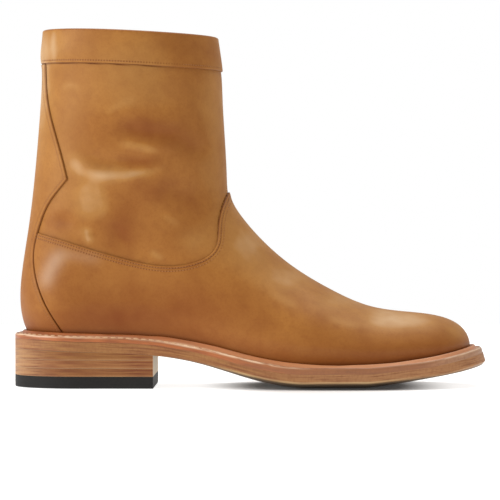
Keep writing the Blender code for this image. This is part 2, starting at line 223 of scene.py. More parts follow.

# The welt along the boot: how deep its channel is, how far its bead and its lip climb, how light its bead is,
# partly its own colour and partly a painted highlight, and how strong the painted glint on its outer corner
# is.
WELT_RUN_ROWS = (
    # x, channel, bead, lip, light, painted_glint
    (0, 0, 0, 0, 0, 0.9),
    (40, 0, 0.2, 0, 0, 0.6),
    (60, 0, 0, 0, 0, 0.35),
    (88, 0, 0.4, 0, 0.1, 0.3),
    (95, 0, 1, 0, 0.1, 0.4),
    (112, 0.1, 1.1, 0, 0.3, 0.9),
    (132, 0.2, 1.8, 0.7, 0.5, 0.9),
    (165, 0.4, 1.9, 1.4, 0.6, 0.9),
    (182, 0.6, 1.6, 1.2, 0.8, 0.3),
    (195, 0.8, 0.5, 1, 1, 0.1),
    (206, 0.8, 0.1, 0.9, 1, 0.1),
    (224, 0.8, 0.8, 0.9, 1, 0.1),
    (240, 0.8, 0.3, 0.8, 1, 0.1),
    (265, 0.8, 0.9, 0.9, 0.9, 0.3),
    (292, 0.8, 1.6, 1.6, 0.7, 0.8),
)

# The back strip's front edge, up to its point and on to the cuff, and the vamp's top edge.
STRIP_FOOT_ROWS = (
    # x, z
    (34.8, 32), (29.2, 40.6), (21.2, 54.5), (15.9, 69.4), (14.3, 84.5), (17.4, 99.8), (24.8, 117),
    (29.8, 123.6), (36.3, 131.4),
)
STRIP_LEG_ROWS = (
    # x, z
    (36.3, 131.4), (33.4, 143), (28.8, 159), (23.2, 180.5), (21.4, 208),
)
VAMP_START_Z = 97.4
VAMP_PEAK_Z = 123.2
VAMP_ROWS = (
    # x, z
    (33, 93), (53, 86.8), (73, 81.2), (92, 77.4), (106, 77.2), (118, 79.8), (126, 84.4), (129.6, 90.5),
    (130.3, 98.5), (131, 107.5), (133.2, 116),
)

# Creases of the leather: three places that a crease runs through, its half width, and its height, which is
# negative for a trough. The inner side has the same creases a little lower and further back.
FOLD_ROWS = (
    # x0, z0, x1, z1, x2, z2, half_width, height
    (40, 149, 63, 142.5, 93, 145, 4.2, -1.70),
    (37, 143, 58, 134.5, 92, 137.5, 4.2, 1.70),
    (62, 165, 84, 160.5, 118, 158, 5.5, -1.30),
    (68, 153.5, 82, 152, 108, 154, 4, 1.00),
    (104, 157, 116, 151, 128, 147, 5.5, -1.00),
    (92, 130, 108, 122, 125, 116, 9, -1.00),
    (43, 100.5, 47.5, 96, 54, 93.5, 2.6, 0.80),
    (27, 109, 33, 105, 41, 102, 4, -0.70),
    (66, 106, 68, 98, 74, 88, 5, -0.60),
    (36, 87, 27, 73, 23, 58, 6, 0.60),
    (98, 212, 96, 188, 103, 166, 11, -1.00),
)
INNER_SHIFT = (5.0, 6.0)
INNER_DEPTH = 0.8
CENTRE_BLEND = 12.0

# Creases die out between these shares of the shaft's half breadth, and a stroke over this share of its
# length.
FOLD_ENDS = (0.3, 0.7)
STROKE_FADE = 0.35

# Patches of the leather's tone, partly the wax's own clouds and partly painted shade and painted highlights
# where the light falls: where, how far they reach, and how much darker and redder they are, which is negative
# for a paler patch, partly rubbed leather and partly a painted highlight.
TONE_AND_PAINTED_LIGHT_ROWS = (
    # x, z, reach_x, reach_z, amount
    (30, 160, 20, 80, -0.16),
    (24, 214, 12, 10, -0.30),
    (116, 211, 16, 12, 0.25),
    (76, 198, 28, 24, -0.26),
    (128, 165, 8, 70, -0.25),
    (86, 164, 26, 8, 0.50),
    (91, 125, 18, 10, 0.62),
    (113, 116, 13, 8, 0.40),
    (69, 98, 9, 13, 0.82),
    (32, 105.5, 7, 5, 0.45),
    (116, 92, 9, 9, -0.20),
    (19, 192, 5, 30, -0.50),
    (10, 58, 8, 26, 0.25),
    (46, 68, 20, 12, 0.32),
    (77, 63, 10, 8, 0.40),
    (62, 46, 36, 11, 0.92),
    (120, 50, 32, 16, 0.55),
    (140, 108, 8, 14, -0.18),
    (150, 88, 14, 16, -0.42),
    (172, 68, 18, 9, -0.42),
    (206, 54, 16, 7, -0.35),
    (236, 42.5, 15, 7, -0.58),
    (255, 41, 15, 5.5, -0.44),
    (281, 34, 7, 7, -0.28),
    (205, 26, 70, 9, 0.25),
)

# Streaks of tone, each through three places, with its half width and how dark it is: partly the wax's own
# tone, partly painted highlights along the creases' ridges, at the ankle and at the heel, and painted shade
# in the creases' hollows.
STREAK_AND_PAINTED_LIGHT_ROWS = (
    # x0, z0, x1, z1, x2, z2, half_width, amount
    (35, 150, 45.4, 136.8, 63, 133.6, 5, -0.34),
    (45, 133.8, 75, 134.2, 104, 139.6, 4.8, -0.60),
    (66, 144.2, 81, 141.8, 98, 142.8, 3.8, 0.60),
    (64, 156, 80, 152.6, 98, 147.6, 3.4, -0.36),
    (58, 166, 88, 161, 136, 147, 7, 0.44),
    (28.6, 230, 28, 215, 28.4, 200, 1.8, -0.28),
    (46, 134, 48.2, 118, 49.6, 103, 6.6, -0.36),
    (53, 133, 57.5, 118, 61, 101, 5.4, -0.30),
    (48.6, 103, 48.8, 96, 52, 90, 2.6, -0.48),
    (42, 91, 29, 76, 22, 58, 6.8, -0.10),
    (30, 186, 37.9, 190.3, 46, 186, 2, -0.15),
    (58, 170, 69.5, 177.5, 83, 183, 2.6, -0.14),
    (64, 96, 69.5, 90.5, 76, 85, 2.2, -0.34),
    (88, 88, 92, 83.6, 98, 81.4, 2.2, -0.26),
    (95, 112, 101, 106, 109, 103, 2.6, -0.20),
    (160, 62, 171, 55, 184, 50, 2.6, -0.22),
    (196, 46, 208, 41, 222, 38, 2.4, -0.22),
)

# Painted highlight: the wax's grey shine, painted where the heel turns to the light, as streaks in the same
# way.
PAINTED_SHINE_ROWS = (
    # x0, z0, x1, z1, x2, z2, half_width, amount
    (37, 90, 25.5, 73, 20.5, 58, 5, 0.32),
    (28, 85, 44, 83, 62, 80, 4, 0.12),
)

# How dark the wax, the groove (wax and painted shade) and the needle holes (painted shade) are along the
# vamp's top edge, from the back strip on.
VAMP_INK_ROWS = (
    # along, ink, groove, holes
    (0, 0.06, 0, 0.6),
    (62, 0.06, 0, 0.6),
    (88, 0.10, 0.7, 0.5),
    (112, 0.10, 0.8, 0.3),
    (130, 0.75, 0.5, 0.15),
    (170, 0.80, 0.3, 0.15),
)

# How dark the wax, the groove (wax and painted shade) and the needle holes (painted shade) are on the back
# strip and the cuff, at whose foot the wax goes with a painted shadow of the cuff's edge on the upper; the
# share at which the distance from the cuff's foot counts, how that darkness fades towards the front, and how
# much darker and how deep its rim is painted, as painted shade on the rolled rim.
STRIP_INK = 0.55
STRIP_GROOVE = 0.2
CUFF_WAX_AND_SHADE = 0.85
CUFF_HOLES = 0.62
CUFF_SHADE = 0.6
CUFF_FADE = 0.6
CUFF_FADE_RUN = (75.0, 110.0)
RIM_PAINTED_SHADE = 0.6
RIM_PAINTED_SHADE_DEPTH = 1.6

# How far from a seam, from the groove and from a needle hole the dark wax and painted shade begin and are
# full.
WAX_LINE = (0.55, 0.15)
GROOVE_WAX_AND_SHADE = (0.65, 0.2)
HOLE_SHADE = (0.65, 0.35)

# Stitch rows: how far from the panel's edge, the stretch they fill, the pitch, and the thread.
VAMP_STITCH_ROWS = (1.4, 3.3)
VAMP_GROOVE = 1.5
STRIP_STITCH_ROW = 1.9
CUFF_STITCH_ROW = 1.9
STRIP_STITCH_SINK = 0.1
VAMP_ROW_END = 0.97
CUFF_ROW = (0.03, 0.97)
PANEL_PITCH = 1.75
PANEL_STITCH = 0.74 * PANEL_PITCH
PANEL_THREAD = 0.4
WELT_PITCH = 4.8
WELT_STITCH = 0.72 * WELT_PITCH
WELT_THREAD = 0.9

# The floor, the light of the room and of the floor's glow, the soft boxes, and the camera, in metres.
FLOOR_HALF = 0.95
FLOOR_DROP = 0.0003
ROOM_LIGHT = 0.565
FLOOR_GLOW = 0.35
# The floor's glow is painted light, which no lamp gives: stronger under the boot, where it lights the boot's
# shadow away, and faint in an oval under the ball, where the shadow stays.
GLOW_OVALS = (
    # middle, half lengths, strength
    ((0.0, 0.0, 0.0), (0.20, 0.085, 1.0), 0.85),
    ((0.050, 0.0, 0.0), (0.078, 0.13, 1.0), 0.03),
)
GLOW_FADE = (0.55, 1.1)
SOFT_BOXES = (
    # name, place, aim, size, power in watts
    ("soft_box_left", (-1.9, -0.9, 1.0), (0.0, 0.0, 0.1), (1.5, 1.5), 34.0),
    ("soft_box_above", (0.1, 0.3, 1.9), (0.05, 0.0, 0.05), (1.6, 1.2), 20.0),
)
EYE = (0.0303, -1.9298, 0.116)
AIM = (0.0, 0.0, 0.0864)
LENS = 217.6
SENSOR = 36.0

# How finely the surfaces are drawn.
STEPS = 104
RINGS = 140
SOLE_STEPS = 150
VAMP_RINGS = 120
STRIP_FOOT_RINGS = 70
STRIP_LEG_RINGS = 50
STRIP_STEPS = 44
LINING_STEPS = 56
LINING_RINGS = 70
SLAB_COLUMNS = 14
SLAB_SIDE_ROWS = 6
BREAST_SHARES = (0.9995, 1.0)
CUFF_ROLL_POINTS = 15
CUFF_SIDE_POINTS = 24
VAMP_CROWDING = 1.6
STRIP_FOOT_BEND = 6
STITCH_RINGS = 7
STITCH_SIDES = 8
WELT_SOFTENED = 2
NORMAL_STEP = 0.2
FINE_POINTS = 500
FOLD_POINTS = 30
BLOCK = 4000
SHARP_ANGLE = np.radians(42.0)
WELD = 1e-6


def spline(x, y):
    """Natural cubic spline through the values y at the places x, as a function of the place."""
    h = np.diff(x)
    system = np.eye(len(x))
    load = np.zeros(len(x))
    for i in range(1, len(x) - 1):
        system[i, i - 1 : i + 2] = h[i - 1], 2 * (h[i - 1] + h[i]), h[i]
        load[i] = 6 * ((y[i + 1] - y[i]) / h[i] - (y[i] - y[i - 1]) / h[i - 1])
    bend = np.linalg.solve(system, load)

    def value(at):
        at = np.clip(np.asarray(at, float), x[0], x[-1])
        i = np.clip(np.searchsorted(x, at) - 1, 0, len(x) - 2)
        before, after = (at - x[i]) / h[i], (x[i + 1] - at) / h[i]
        bow = (after**3 - after) * bend[i] + (before**3 - before) * bend[i + 1]
        return after * y[i] + before * y[i + 1] + bow * h[i] ** 2 / 6

    return value


def splines(rows):
    """A spline for each later column of a table, over its first column."""
    x, *columns = np.array(rows).T
    return [spline(x, y) for y in columns]


def line(points):
    """Smooth line through side-view points, as a function of the share of its length from 0 to 1."""
    points = np.array(points, float)
    lengths = np.append(0.0, np.cumsum(np.hypot(*np.diff(points, axis=0).T)))
    across, up = splines(np.column_stack([lengths / lengths[-1], points]))

    def point(share):
        return np.stack([across(share), up(share)], axis=-1)

    return point


def stretch(point, start, end, shift=(0.0, 0.0)):
    """The stretch of a line between two of its shares, as a line of its own, moved by a shift."""
    return lambda share: point(start + (end - start) * share) + shift


def level(height, start, end):
    """A line from one x to another, at a height worked out from x."""

    def point(share):
        x = start + (end - start) * share
        return np.stack([x, height(x)], axis=-1)

    return point


def smooth_step(value, low, high):
    """0 below low, 1 above high, and an S-shaped rise between them."""
    share = np.clip((value - low) / (high - low), 0.0, 1.0)
    return share * share * (3 - 2 * share)


def rounded(share):
    """A section's half breadth, from 0 at its edge to 1 at its full depth: part of a superellipse."""
    inward = 1 - np.clip(share, 0.0, 1.0)
    return (1 - inward**ROUNDNESS) ** (1 / ROUNDNESS)


def even(count):
    """Shares from 0 to 1 in even steps."""
    return np.linspace(0.0, 1.0, count)


def crowded(count):
    """Shares from 0 to 1 that crowd towards both ends, as the heights of points round half a circle do."""
    return (1 - np.cos(np.pi * even(count))) / 2


FINE = even(FINE_POINTS)

back_x = spline(*np.array(BACK_ROWS).T[::-1])
back_line = line(BACK_ROWS)
front_line = line(FRONT_ROWS)
collar_z = spline(*np.array(COLLAR_ROWS).T)
strip_foot = line(STRIP_FOOT_ROWS)
strip_leg = line(STRIP_LEG_ROWS)
outer_breadth, inner_breadth, widest_at, crown_depth = splines(LAST_ROWS)
shaft_half, shaft_depth = splines(SHAFT_ROWS)
sole_tread, sole_crown, sole_reach = splines(SOLE_ROWS)
FRONT_EDGE = front_line(FINE)


def tread_z(x):
    """Height of the middle of the tread, flat on the floor under the ball of the foot."""
    return np.maximum(sole_tread(x), 0.0)


def outsole_top(x):
    """Height of the outsole's upper face: the tread's edge, which the crown lifts, and the thickness."""
    return tread_z(x) + sole_crown(x) + OUTSOLE


def feather_z(x):
    """Height of the foot of the leather, on the welt's shelf."""
    return outsole_top(x) + GAP + WELT + GAP


def cuff_foot_z(x):
    """Height of the cuff's lower edge, at one height under the collar."""
    return collar_z(x) - CUFF_HEIGHT


def rim_z(x):
    """Height of the wall's rim, inside the cuff's fold."""
    return collar_z(x) - RIM_DROP


def centre_y(x):
    """The last's centre line, which swings to the inner side towards the toe."""
    return TOE_SWING * smooth_step(x, SWING_BEGINS, SOLE_LENGTH)


def distances(points, path):
    """Distance of side-view points from a path, and how far along the path the nearest place lies.

    Each point is dropped onto every straight piece of the path, and the nearest foot is kept.
    """
    start, run = path[:-1], np.diff(path, axis=0)
    lengths = np.hypot(*run.T)
    before = np.append(0.0, np.cumsum(lengths))[:-1]
    flat = points.reshape(-1, 2)
    found = []
    for block in np.array_split(flat, len(flat) // BLOCK + 1):
        away = block[:, None] - start
        along = np.clip((away * run).sum(-1) / lengths**2, 0.0, 1.0)
        gap = np.linalg.norm(away - along[..., None] * run, axis=-1)
        nearest = gap.argmin(1)
        pick = np.arange(len(block)), nearest
        found.append(np.column_stack([gap[pick], before[nearest] + along[pick] * lengths[nearest]]))
    found = np.concatenate(found).reshape(*points.shape[:-1], 2)
    return found[..., 0], found[..., 1]


def half_breadths(x, z):
    """Half breadths of the leather at side-view points, to the outer and to the inner side.

    The last's breadth gives way to the shaft's up the leg, tucks in at the foot of the leather, and is
    rounded off to nothing at the back and front edges.
    """
    rise = z - feather_z(x)
    shaft_share = smooth_step(rise, SHAFT_BEGINS, SHAFT_RULES)
    tuck = FOOT_SHARE + (1 - FOOT_SHARE) * smooth_step(rise, 0.0, widest_at(x))
    back = rounded((x - back_x(z)) / shaft_depth(z))
    front = rounded(distances(np.stack([x, z], axis=-1), FRONT_EDGE)[0] / crown_depth(x))
    shape = tuck * back * front
    return [
        (last(x) * (1 - shaft_share) + shaft_half(z) * shaft_share) * shape
        for last in (outer_breadth, inner_breadth)
    ]


def crossing(point, height):
    """The share along a rising line where it first climbs past a height that depends on x."""
    x, z = point(FINE).T
    over = z - height(x)
    first = np.argmax(over > 0)
    return np.interp(0.0, over[first - 1 : first + 1], FINE[first - 1 : first + 1])


def fixed(value):
    """The same value at every x."""
    return lambda x: np.full(np.shape(x), value)


# The vamp's top edge runs from the back strip to a peak on the front edge.
strip_starts = crossing(strip_foot, feather_z)
strip_ends = crossing(strip_leg, lambda x: cuff_foot_z(x) - GAP)
vamp_starts = crossing(strip_foot, fixed(VAMP_START_Z))
vamp_peaks = crossing(front_line, fixed(VAMP_PEAK_Z))
vamp_seam = stretch(strip_foot, strip_starts, vamp_starts, shift=(SEAM, 0.0))
vamp_top = line([vamp_seam(1.0), *VAMP_ROWS, front_line(vamp_peaks)])
VAMP_TOP = vamp_top(FINE)
VAMP_SEAM = vamp_seam(FINE)
STRIP_FOOT = stretch(strip_foot, strip_starts, 1.0)(FINE)
STRIP_LEG = stretch(strip_leg, 0.0, strip_ends)(FINE)
STRIP_EDGE = np.concatenate([STRIP_FOOT, STRIP_LEG[1:]])
CUFF_FOOT = level(cuff_foot_z, BACK_ROWS[-1][0], FRONT_ROWS[-1][0])(FINE)


def side_view(points):
    """Points as they lie in the side view: their x and z."""
    return points[..., [0, 2]]


def unit(vectors):
    """Vectors of the same directions with a length of one."""
    return vectors / np.linalg.norm(vectors, axis=-1, keepdims=True)


def off_centre(points):
    """How far points lie to the inner side of the last's centre line."""
    return points[..., 1] - centre_y(points[..., 0])


def patch(foot, top, back, front, up, along):
    """Side-view points of a patch, rows by columns.

    Points ruled from foot to top and points ruled from back to front are added, and the points ruled
    between the four corners are taken off.
    """
    v, s = up[:, None, None], along[None, :, None]
    low, high, near, far = foot(along)[None], top(along)[None], back(up)[:, None], front(up)[:, None]
    ruled = (1 - v) * low + v * high + (1 - s) * near + s * far
    corners = (1 - s) * ((1 - v) * low[:, :1] + v * high[:, :1])
    corners = corners + s * ((1 - v) * low[:, -1:] + v * high[:, -1:])
    return ruled - corners


def both_sides(place, closed):
    """A patch on the outer side, joined to its like on the inner side.

    The sides meet where the last column has no breadth, and in a closed ring the first column has none.
    """
    x, z = np.moveaxis(place, -1, 0)
    sides = []
    for breadth, sign in zip(half_breadths(x, z), (-1.0, 1.0)):
        breadth[:, -1] = 0.0
        if closed:
            breadth[:, 0] = 0.0
        sides.append(np.stack([x, centre_y(x) + sign * breadth, z], axis=-1))
    back_again = sides[1][:, -2:0:-1] if closed else sides[1][:, -2::-1]
    return np.concatenate([sides[0], back_again], axis=1)


def leather_rings(low, high, up, along):
    """Rings of points on the last between two heights: back, outer side, front, inner side."""
    back, front = (
        stretch(edge, crossing(edge, low), crossing(edge, high)) for edge in (back_line, front_line)
    )
    foot = level(low, back(0.0)[0], front(0.0)[0])
    top = level(high, back(1.0)[0], front(1.0)[0])
    return both_sides(patch(foot, top, back, front, up, along), closed=True)


def face_normals(points, closed):
    """Unit normals of a grid, out of the boot: the cross product of its steps along rows and up columns."""
    if closed:
        along = np.roll(points, -1, axis=1) - np.roll(points, 1, axis=1)
    else:
        along = np.gradient(points, axis=1)
    normal = unit(np.cross(along, np.gradient(points, axis=0)))
    return normal * np.sign(np.sum(normal[..., 1] * off_centre(points)))


def plan_normals(ring):
    """Unit normals of closed rings in plan, pointing out; a ring runs from the back round the outer side."""
    tangent = np.roll(ring, -1, axis=-2) - np.roll(ring, 1, axis=-2)
    return unit(np.stack([tangent[..., 1], -tangent[..., 0]], axis=-1))


def shifted(points):
    """Side-view places of points on the last, moved towards the inner side, and the share of that move."""
    inner = smooth_step(off_centre(points), -CENTRE_BLEND, CENTRE_BLEND)
    return side_view(points) + inner[..., None] * np.array(INNER_SHIFT), inner


def strokes(place, rows):
    """A sum of strokes: each is a bell across a curved path that fades out at both ends of the path."""
    total = np.zeros(place.shape[:-1])
    for x0, z0, x1, z1, x2, z2, half_width, height in rows:
        path = line([(x0, z0), (x1, z1), (x2, z2)])(even(FOLD_POINTS))
        away, along = distances(place, path)
        share = along / np.hypot(*np.diff(path, axis=0).T).sum()
        fade = smooth_step(np.minimum(share, 1 - share), 0.0, STROKE_FADE)
        total += height * np.exp(-((away / half_width) ** 2)) * fade
    return total


def folds(points):
    """Height of the creases, which fade out towards the back and front of the boot."""
    place, inner = shifted(points)
    inside = smooth_step(np.abs(off_centre(points)) / shaft_half(points[..., 2]), *FOLD_ENDS)
    return strokes(place, FOLD_ROWS) * inside * (1 + (INNER_DEPTH - 1) * inner)


def tones_and_painted_light(place):
    """Darker, redder or paler tone with painted shade and highlights: a sum of streaks and soft patches."""
    total = strokes(place, STREAK_AND_PAINTED_LIGHT_ROWS)
    for x, z, reach_x, reach_z, amount in TONE_AND_PAINTED_LIGHT_ROWS:
        spread = ((place[..., 0] - x) / reach_x) ** 2 + ((place[..., 1] - z) / reach_z) ** 2
        total += amount * np.exp(-spread)
    return total


def leather_marks(points, **drawn):
    """Height above the sole, tone with painted light, painted shine, and the marks drawn on it, at each
    point.
    """
    place, _ = shifted(points)
    rise = points[..., 2] - feather_z(points[..., 0])
    return {"rise": rise, "tone_and_painted_light": tones_and_painted_light(place), "painted_shine": strokes(place, PAINTED_SHINE_ROWS), **drawn}


def table_run(rows, at):
    """Columns of a table at places along its first column, with straight runs between its rows."""
    places, *columns = np.array(rows).T
    return [np.interp(at, places, column) for column in columns]


def cuff_ink(x, share):
    """Darkness of the cuff's wax with painted shadow, and of its needle holes, fading towards the front."""
    return share * (1 - CUFF_FADE * smooth_step(x, *CUFF_FADE_RUN))


def grid(rows, columns, wrap_rows=False, wrap_columns=False):
    """Quads between neighbouring rows and columns of a grid of points numbered row by row."""
    i = np.arange(rows if wrap_rows else rows - 1)
    j = np.arange(columns if wrap_columns else columns - 1)
    i, j = np.meshgrid(i, j, indexing="ij")
    below, beside = (i + 1) % rows, (j + 1) % columns
    corners = i * columns + j, i * columns + beside, below * columns + beside, below * columns + j
    return np.stack(corners, axis=-1).reshape(-1, 4)


def shell(outer, inner, closed):
    """A wall between two faces of as many rows and columns, closed along all its edges."""
    rows, columns = outer.shape[:2]
    points = np.concatenate([outer, inner[::-1]])
    quads = [grid(2 * rows, columns, wrap_rows=True, wrap_columns=closed)]
    if not closed:
        i = np.arange(rows - 1)
        loop = np.stack([i, i + 1, 2 * rows - 2 - i, 2 * rows - 1 - i], axis=-1) * columns
        quads += [loop, loop + columns - 1]
    return points, np.concatenate(quads)


def twice(marks):
    """Marks of a face, repeated for the face behind it."""
    return {name: np.concatenate([values, values[::-1]]) for name, values in marks.items()}


def piece(name, points, faces, material, slot, replaces=(), marks=None):
    """One finished piece from arrays: in metres, doubles merged, faces out, smooth but for sharp edges."""
    mesh = bpy.data.meshes.new(name)
    mesh.from_pydata((points.reshape(-1, 3) - ORIGIN) * MM, [], faces)
    for mark, values in (marks or {}).items():
        drawn = mesh.attributes.new(mark, "FLOAT", "POINT").data
        drawn.foreach_set("value", values.astype(np.float32).ravel())
    bm = bmesh.new()
    bm.from_mesh(mesh)
    bmesh.ops.remove_doubles(bm, verts=bm.verts, dist=WELD)
    bmesh.ops.recalc_face_normals(bm, faces=bm.faces)
    bm.to_mesh(mesh)
    bm.free()
    mesh.shade_smooth()
    mesh.set_sharp_from_angle(angle=SHARP_ANGLE)
    mesh.materials.append(material)
    made = bpy.data.objects.new(name, mesh)
    bpy.context.scene.collection.objects.link(made)
    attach(made, "root")
    if replaces:
        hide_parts(*replaces)


def linear(code):
    """An sRGB hex colour as linear red, green, blue and alpha."""
    srgb = np.array([int(code[i : i + 2], 16) for i in (1, 3, 5)]) / 255
    values = np.where(srgb <= 0.04045, srgb / 12.92, ((srgb + 0.055) / 1.055) ** 2.4)
    return (*values.tolist(), 1.0)


def per_metre(size_mm):
    """Texture scale whose pattern repeats about once in a size in millimetres."""
    return 1 / (size_mm * MM)


def feed(tree, made, inputs):
    """Gives a node's inputs, by name or in order, a value each or a link from another node's output."""
    for name, value in inputs.items() if isinstance(inputs, dict) else enumerate(inputs):
        if isinstance(value, bpy.types.NodeSocket):
            tree.links.new(value, made.inputs[name])
        else:
            made.inputs[name].default_value = value


def node(tree, kind, inputs, output=0, **settings):
    """Adds a shader node with its settings, feeds its inputs, and gives one of its outputs."""
    made = tree.nodes.new("ShaderNode" + kind)
    for name, value in settings.items():
        setattr(made, name, value)
    feed(tree, made, inputs)
    return made.outputs[output]


# Where a colour Mix node keeps its factor, its two colours and its result. A Map Range node's inputs are, in
# order, a value, where its range begins and ends, and what it is at those two ends.
FACTOR, FIRST, SECOND, MIXED = 0, 6, 7, 2


def new_material(name, marks=()):
    """An empty material, the function that adds its nodes, its object coordinates, and the marks it reads."""
    material = bpy.data.materials.new(name)
    material.use_nodes = True
    add = partial(node, material.node_tree)
    place = add("TexCoord", (), "Object")
    return material, add, place, *(add("Attribute", (), "Fac", attribute_name=mark) for mark in marks)


def finished(material, inputs):
    """A material whose shader is given these values and links."""
    tree = material.node_tree
    feed(tree, tree.nodes["Principled BSDF"], inputs)
    return material


def layered(add, colour, layers):
    """A colour with others laid over it in turn.

    A layer has what it follows, where on that it begins and is strongest, how strong it is, and its colour.
    """
    base = linear(colour)
    for follows, begins, strongest, strength, laid in layers:
        share = add("MapRange", (follows, begins, strongest, 0.0, strength))
        base = add("Mix", {FACTOR: share, FIRST: base, SECOND: linear(laid)}, MIXED, data_type="RGBA")
    return base


def edge_place(add, place, layer, stretched):
    """Coordinates for a pattern on an edge: x and y, and the height in the layer, stretched, for z."""
    x, y, _ = add("SeparateXYZ", (place,)).node.outputs
    height = add("Math", (layer, stretched * MM), operation="MULTIPLY")
    return add("CombineXYZ", (x, y, height))


def knife_marks(add, place, layer):
    """Upright marks of the trimming knife on an edge, twice as tall as they are wide.

    They lie under a pixel apart, so they are drawn at 1.4 mm to show at all.
    """
    upright = edge_place(add, place, layer, 0.5)
    return add("TexNoise", {"Vector": upright, "Scale": per_metre(1.4), "Detail": 2.0})


def oiled_nubuck(name, stitch_rows=(), groove_at=None):
    """Oiled nubuck: cowhide sanded on the grain side, then waxed by hand.

    It gives a soft golden brown that clouds where the wax is thick, a fine nap, a dark line in each seam and
    a broad, pale gloss on what faces the light. Its colour also holds painted light: painted highlights and a
    painted grey shine where the light falls, and painted shade in the creases, low on the boot, round the
    needle holes and under the cuff's edge. Stitch rows are distances from the panel's edge with needle holes,
    and groove_at is how far from it a groove runs.
    """
    marks = ("seam", "ink", "rise", "tone_and_painted_light", "painted_shine", "row", "along", "groove", "holes")
    material, add, place, *read = new_material(name, marks)
    seam, ink, rise, tone_and_painted_light, painted_shine, row, along, groove, holes = read

    # Clouds of wax about 26 mm across, finer ones about 6 mm across, the nap's own speckle, which is finer
    # than a pixel and so drawn at 1.4 mm to show at all, and soft blots about 11 mm across that break up the
    # tone.
    cloud, fine_cloud, speckle, blot = (
        add("TexNoise", {"Vector": place, "Scale": per_metre(size), "Detail": detail})
        for size, detail in ((26.0, 4.0), (6.0, 4.0), (1.4, 4.0), (11.0, 1.0))
    )
    mottle = add("MapRange", (blot, 0.3, 0.7, 1.15, 0.85))
    tone_and_painted_light = add("Math", (tone_and_painted_light, mottle), operation="MULTIPLY")

    # A line of dark wax lies in each seam, as dark as its ink, with painted shadow under the cuff's edge;
    # dark wax and painted shade lie in the groove, and painted shade round the needle holes.
    wax_and_painted_shade = add("MapRange", (seam, *WAX_LINE, 0.0, ink))
    if groove_at is not None:
        aside = add("Math", (row, groove_at), operation="SUBTRACT")
        away = add("Math", (aside,), operation="ABSOLUTE")
        deep = add("MapRange", (away, *GROOVE_WAX_AND_SHADE, 0.0, groove))
        wax_and_painted_shade = add("Math", (deep, wax_and_painted_shade), operation="MAXIMUM")
    for distance in stitch_rows:
        # A hole is near the row's distance and near the middle of a pitch.
        share = add("Math", (along, PANEL_PITCH), operation="MODULO")
        before = add("Math", (share, PANEL_PITCH / 2), operation="SUBTRACT")
        aside = add("Math", (row, distance), operation="SUBTRACT")
        offset = add("CombineXYZ", (before, aside))
        away = add("VectorMath", (offset,), "Value", operation="LENGTH")
        hole = add("MapRange", (away, *HOLE_SHADE, 0.0, holes))
        wax_and_painted_shade = add("Math", (hole, wax_and_painted_shade), operation="MAXIMUM")

    layers = (
        (cloud, 0.35, 0.68, 0.9, "#935A23"),
        (fine_cloud, 0.45, 0.75, 0.45, "#8A5120"),
        (speckle, 0.45, 0.75, 0.25, "#7F4616"),
        # Tone with painted light: darker and redder, then paler and greyer, partly the wax's own clouds and
        # partly painted shade and painted highlights.
        (tone_and_painted_light, 0.0, 1.0, 0.9, "#7C3E10"),
        (tone_and_painted_light, 0.0, -1.0, 0.85, "#CC9E5C"),
        (tone_and_painted_light, -0.3, -1.1, 0.7, "#CDB49C"),
        # A painted highlight: the grey shine where the heel turns to the light.
        (painted_shine, 0.0, 1.0, 1.0, "#C4AC98"),
        # Darker and redder towards the sole: partly the wax's burnish, partly painted shade low on the boot
        # and where the leather meets the welt.
        (rise, 16.0, 0.0, 0.75, "#7A3A12"),
        (rise, 5.0, 0.5, 0.70, "#5C2608"),
        (wax_and_painted_shade, 0.0, 1.0, 1.0, "#642E0C"),
    )
    gloss = add("MapRange", (cloud, 0.3, 0.7, 0.42, 0.54))
    grain = add("Bump", {"Height": speckle, "Strength": 0.15, "Distance": 0.4 * MM})
    pitted = {"Height": wax_and_painted_shade, "Normal": grain, "Strength": 0.4, "Distance": 0.3 * MM}
    look = {
        "Base Color": layered(add, "#A36A2E", layers),
        "Roughness": gloss,
        "Normal": add("Bump", pitted, invert=True),
        "Specular IOR Level": 0.2,
        "Sheen Weight": 0.14,
        "Sheen Roughness": 0.45,
        "Sheen Tint": linear("#E8B878"),
    }
    return finished(material, look)


def lining_leather():
    """Pigskin lining, glazed: undyed, smooth and a little shiny, with a fine open grain."""
    material, add, place = new_material("undyed_lining_leather")
    cloud = add("TexNoise", {"Vector": place, "Scale": per_metre(14.0), "Detail": 4.0})
    base = layered(add, "#D2B48C", [(cloud, 0.0, 1.0, 1.0, "#B8966B")])
    pores = add("TexVoronoi", {"Vector": place, "Scale": per_metre(1.6)})
    grain = add("Bump", {"Height": pores, "Strength": 0.15, "Distance": 0.3 * MM})
    return finished(material, {"Base Color": base, "Normal": grain, "Roughness": 0.5})


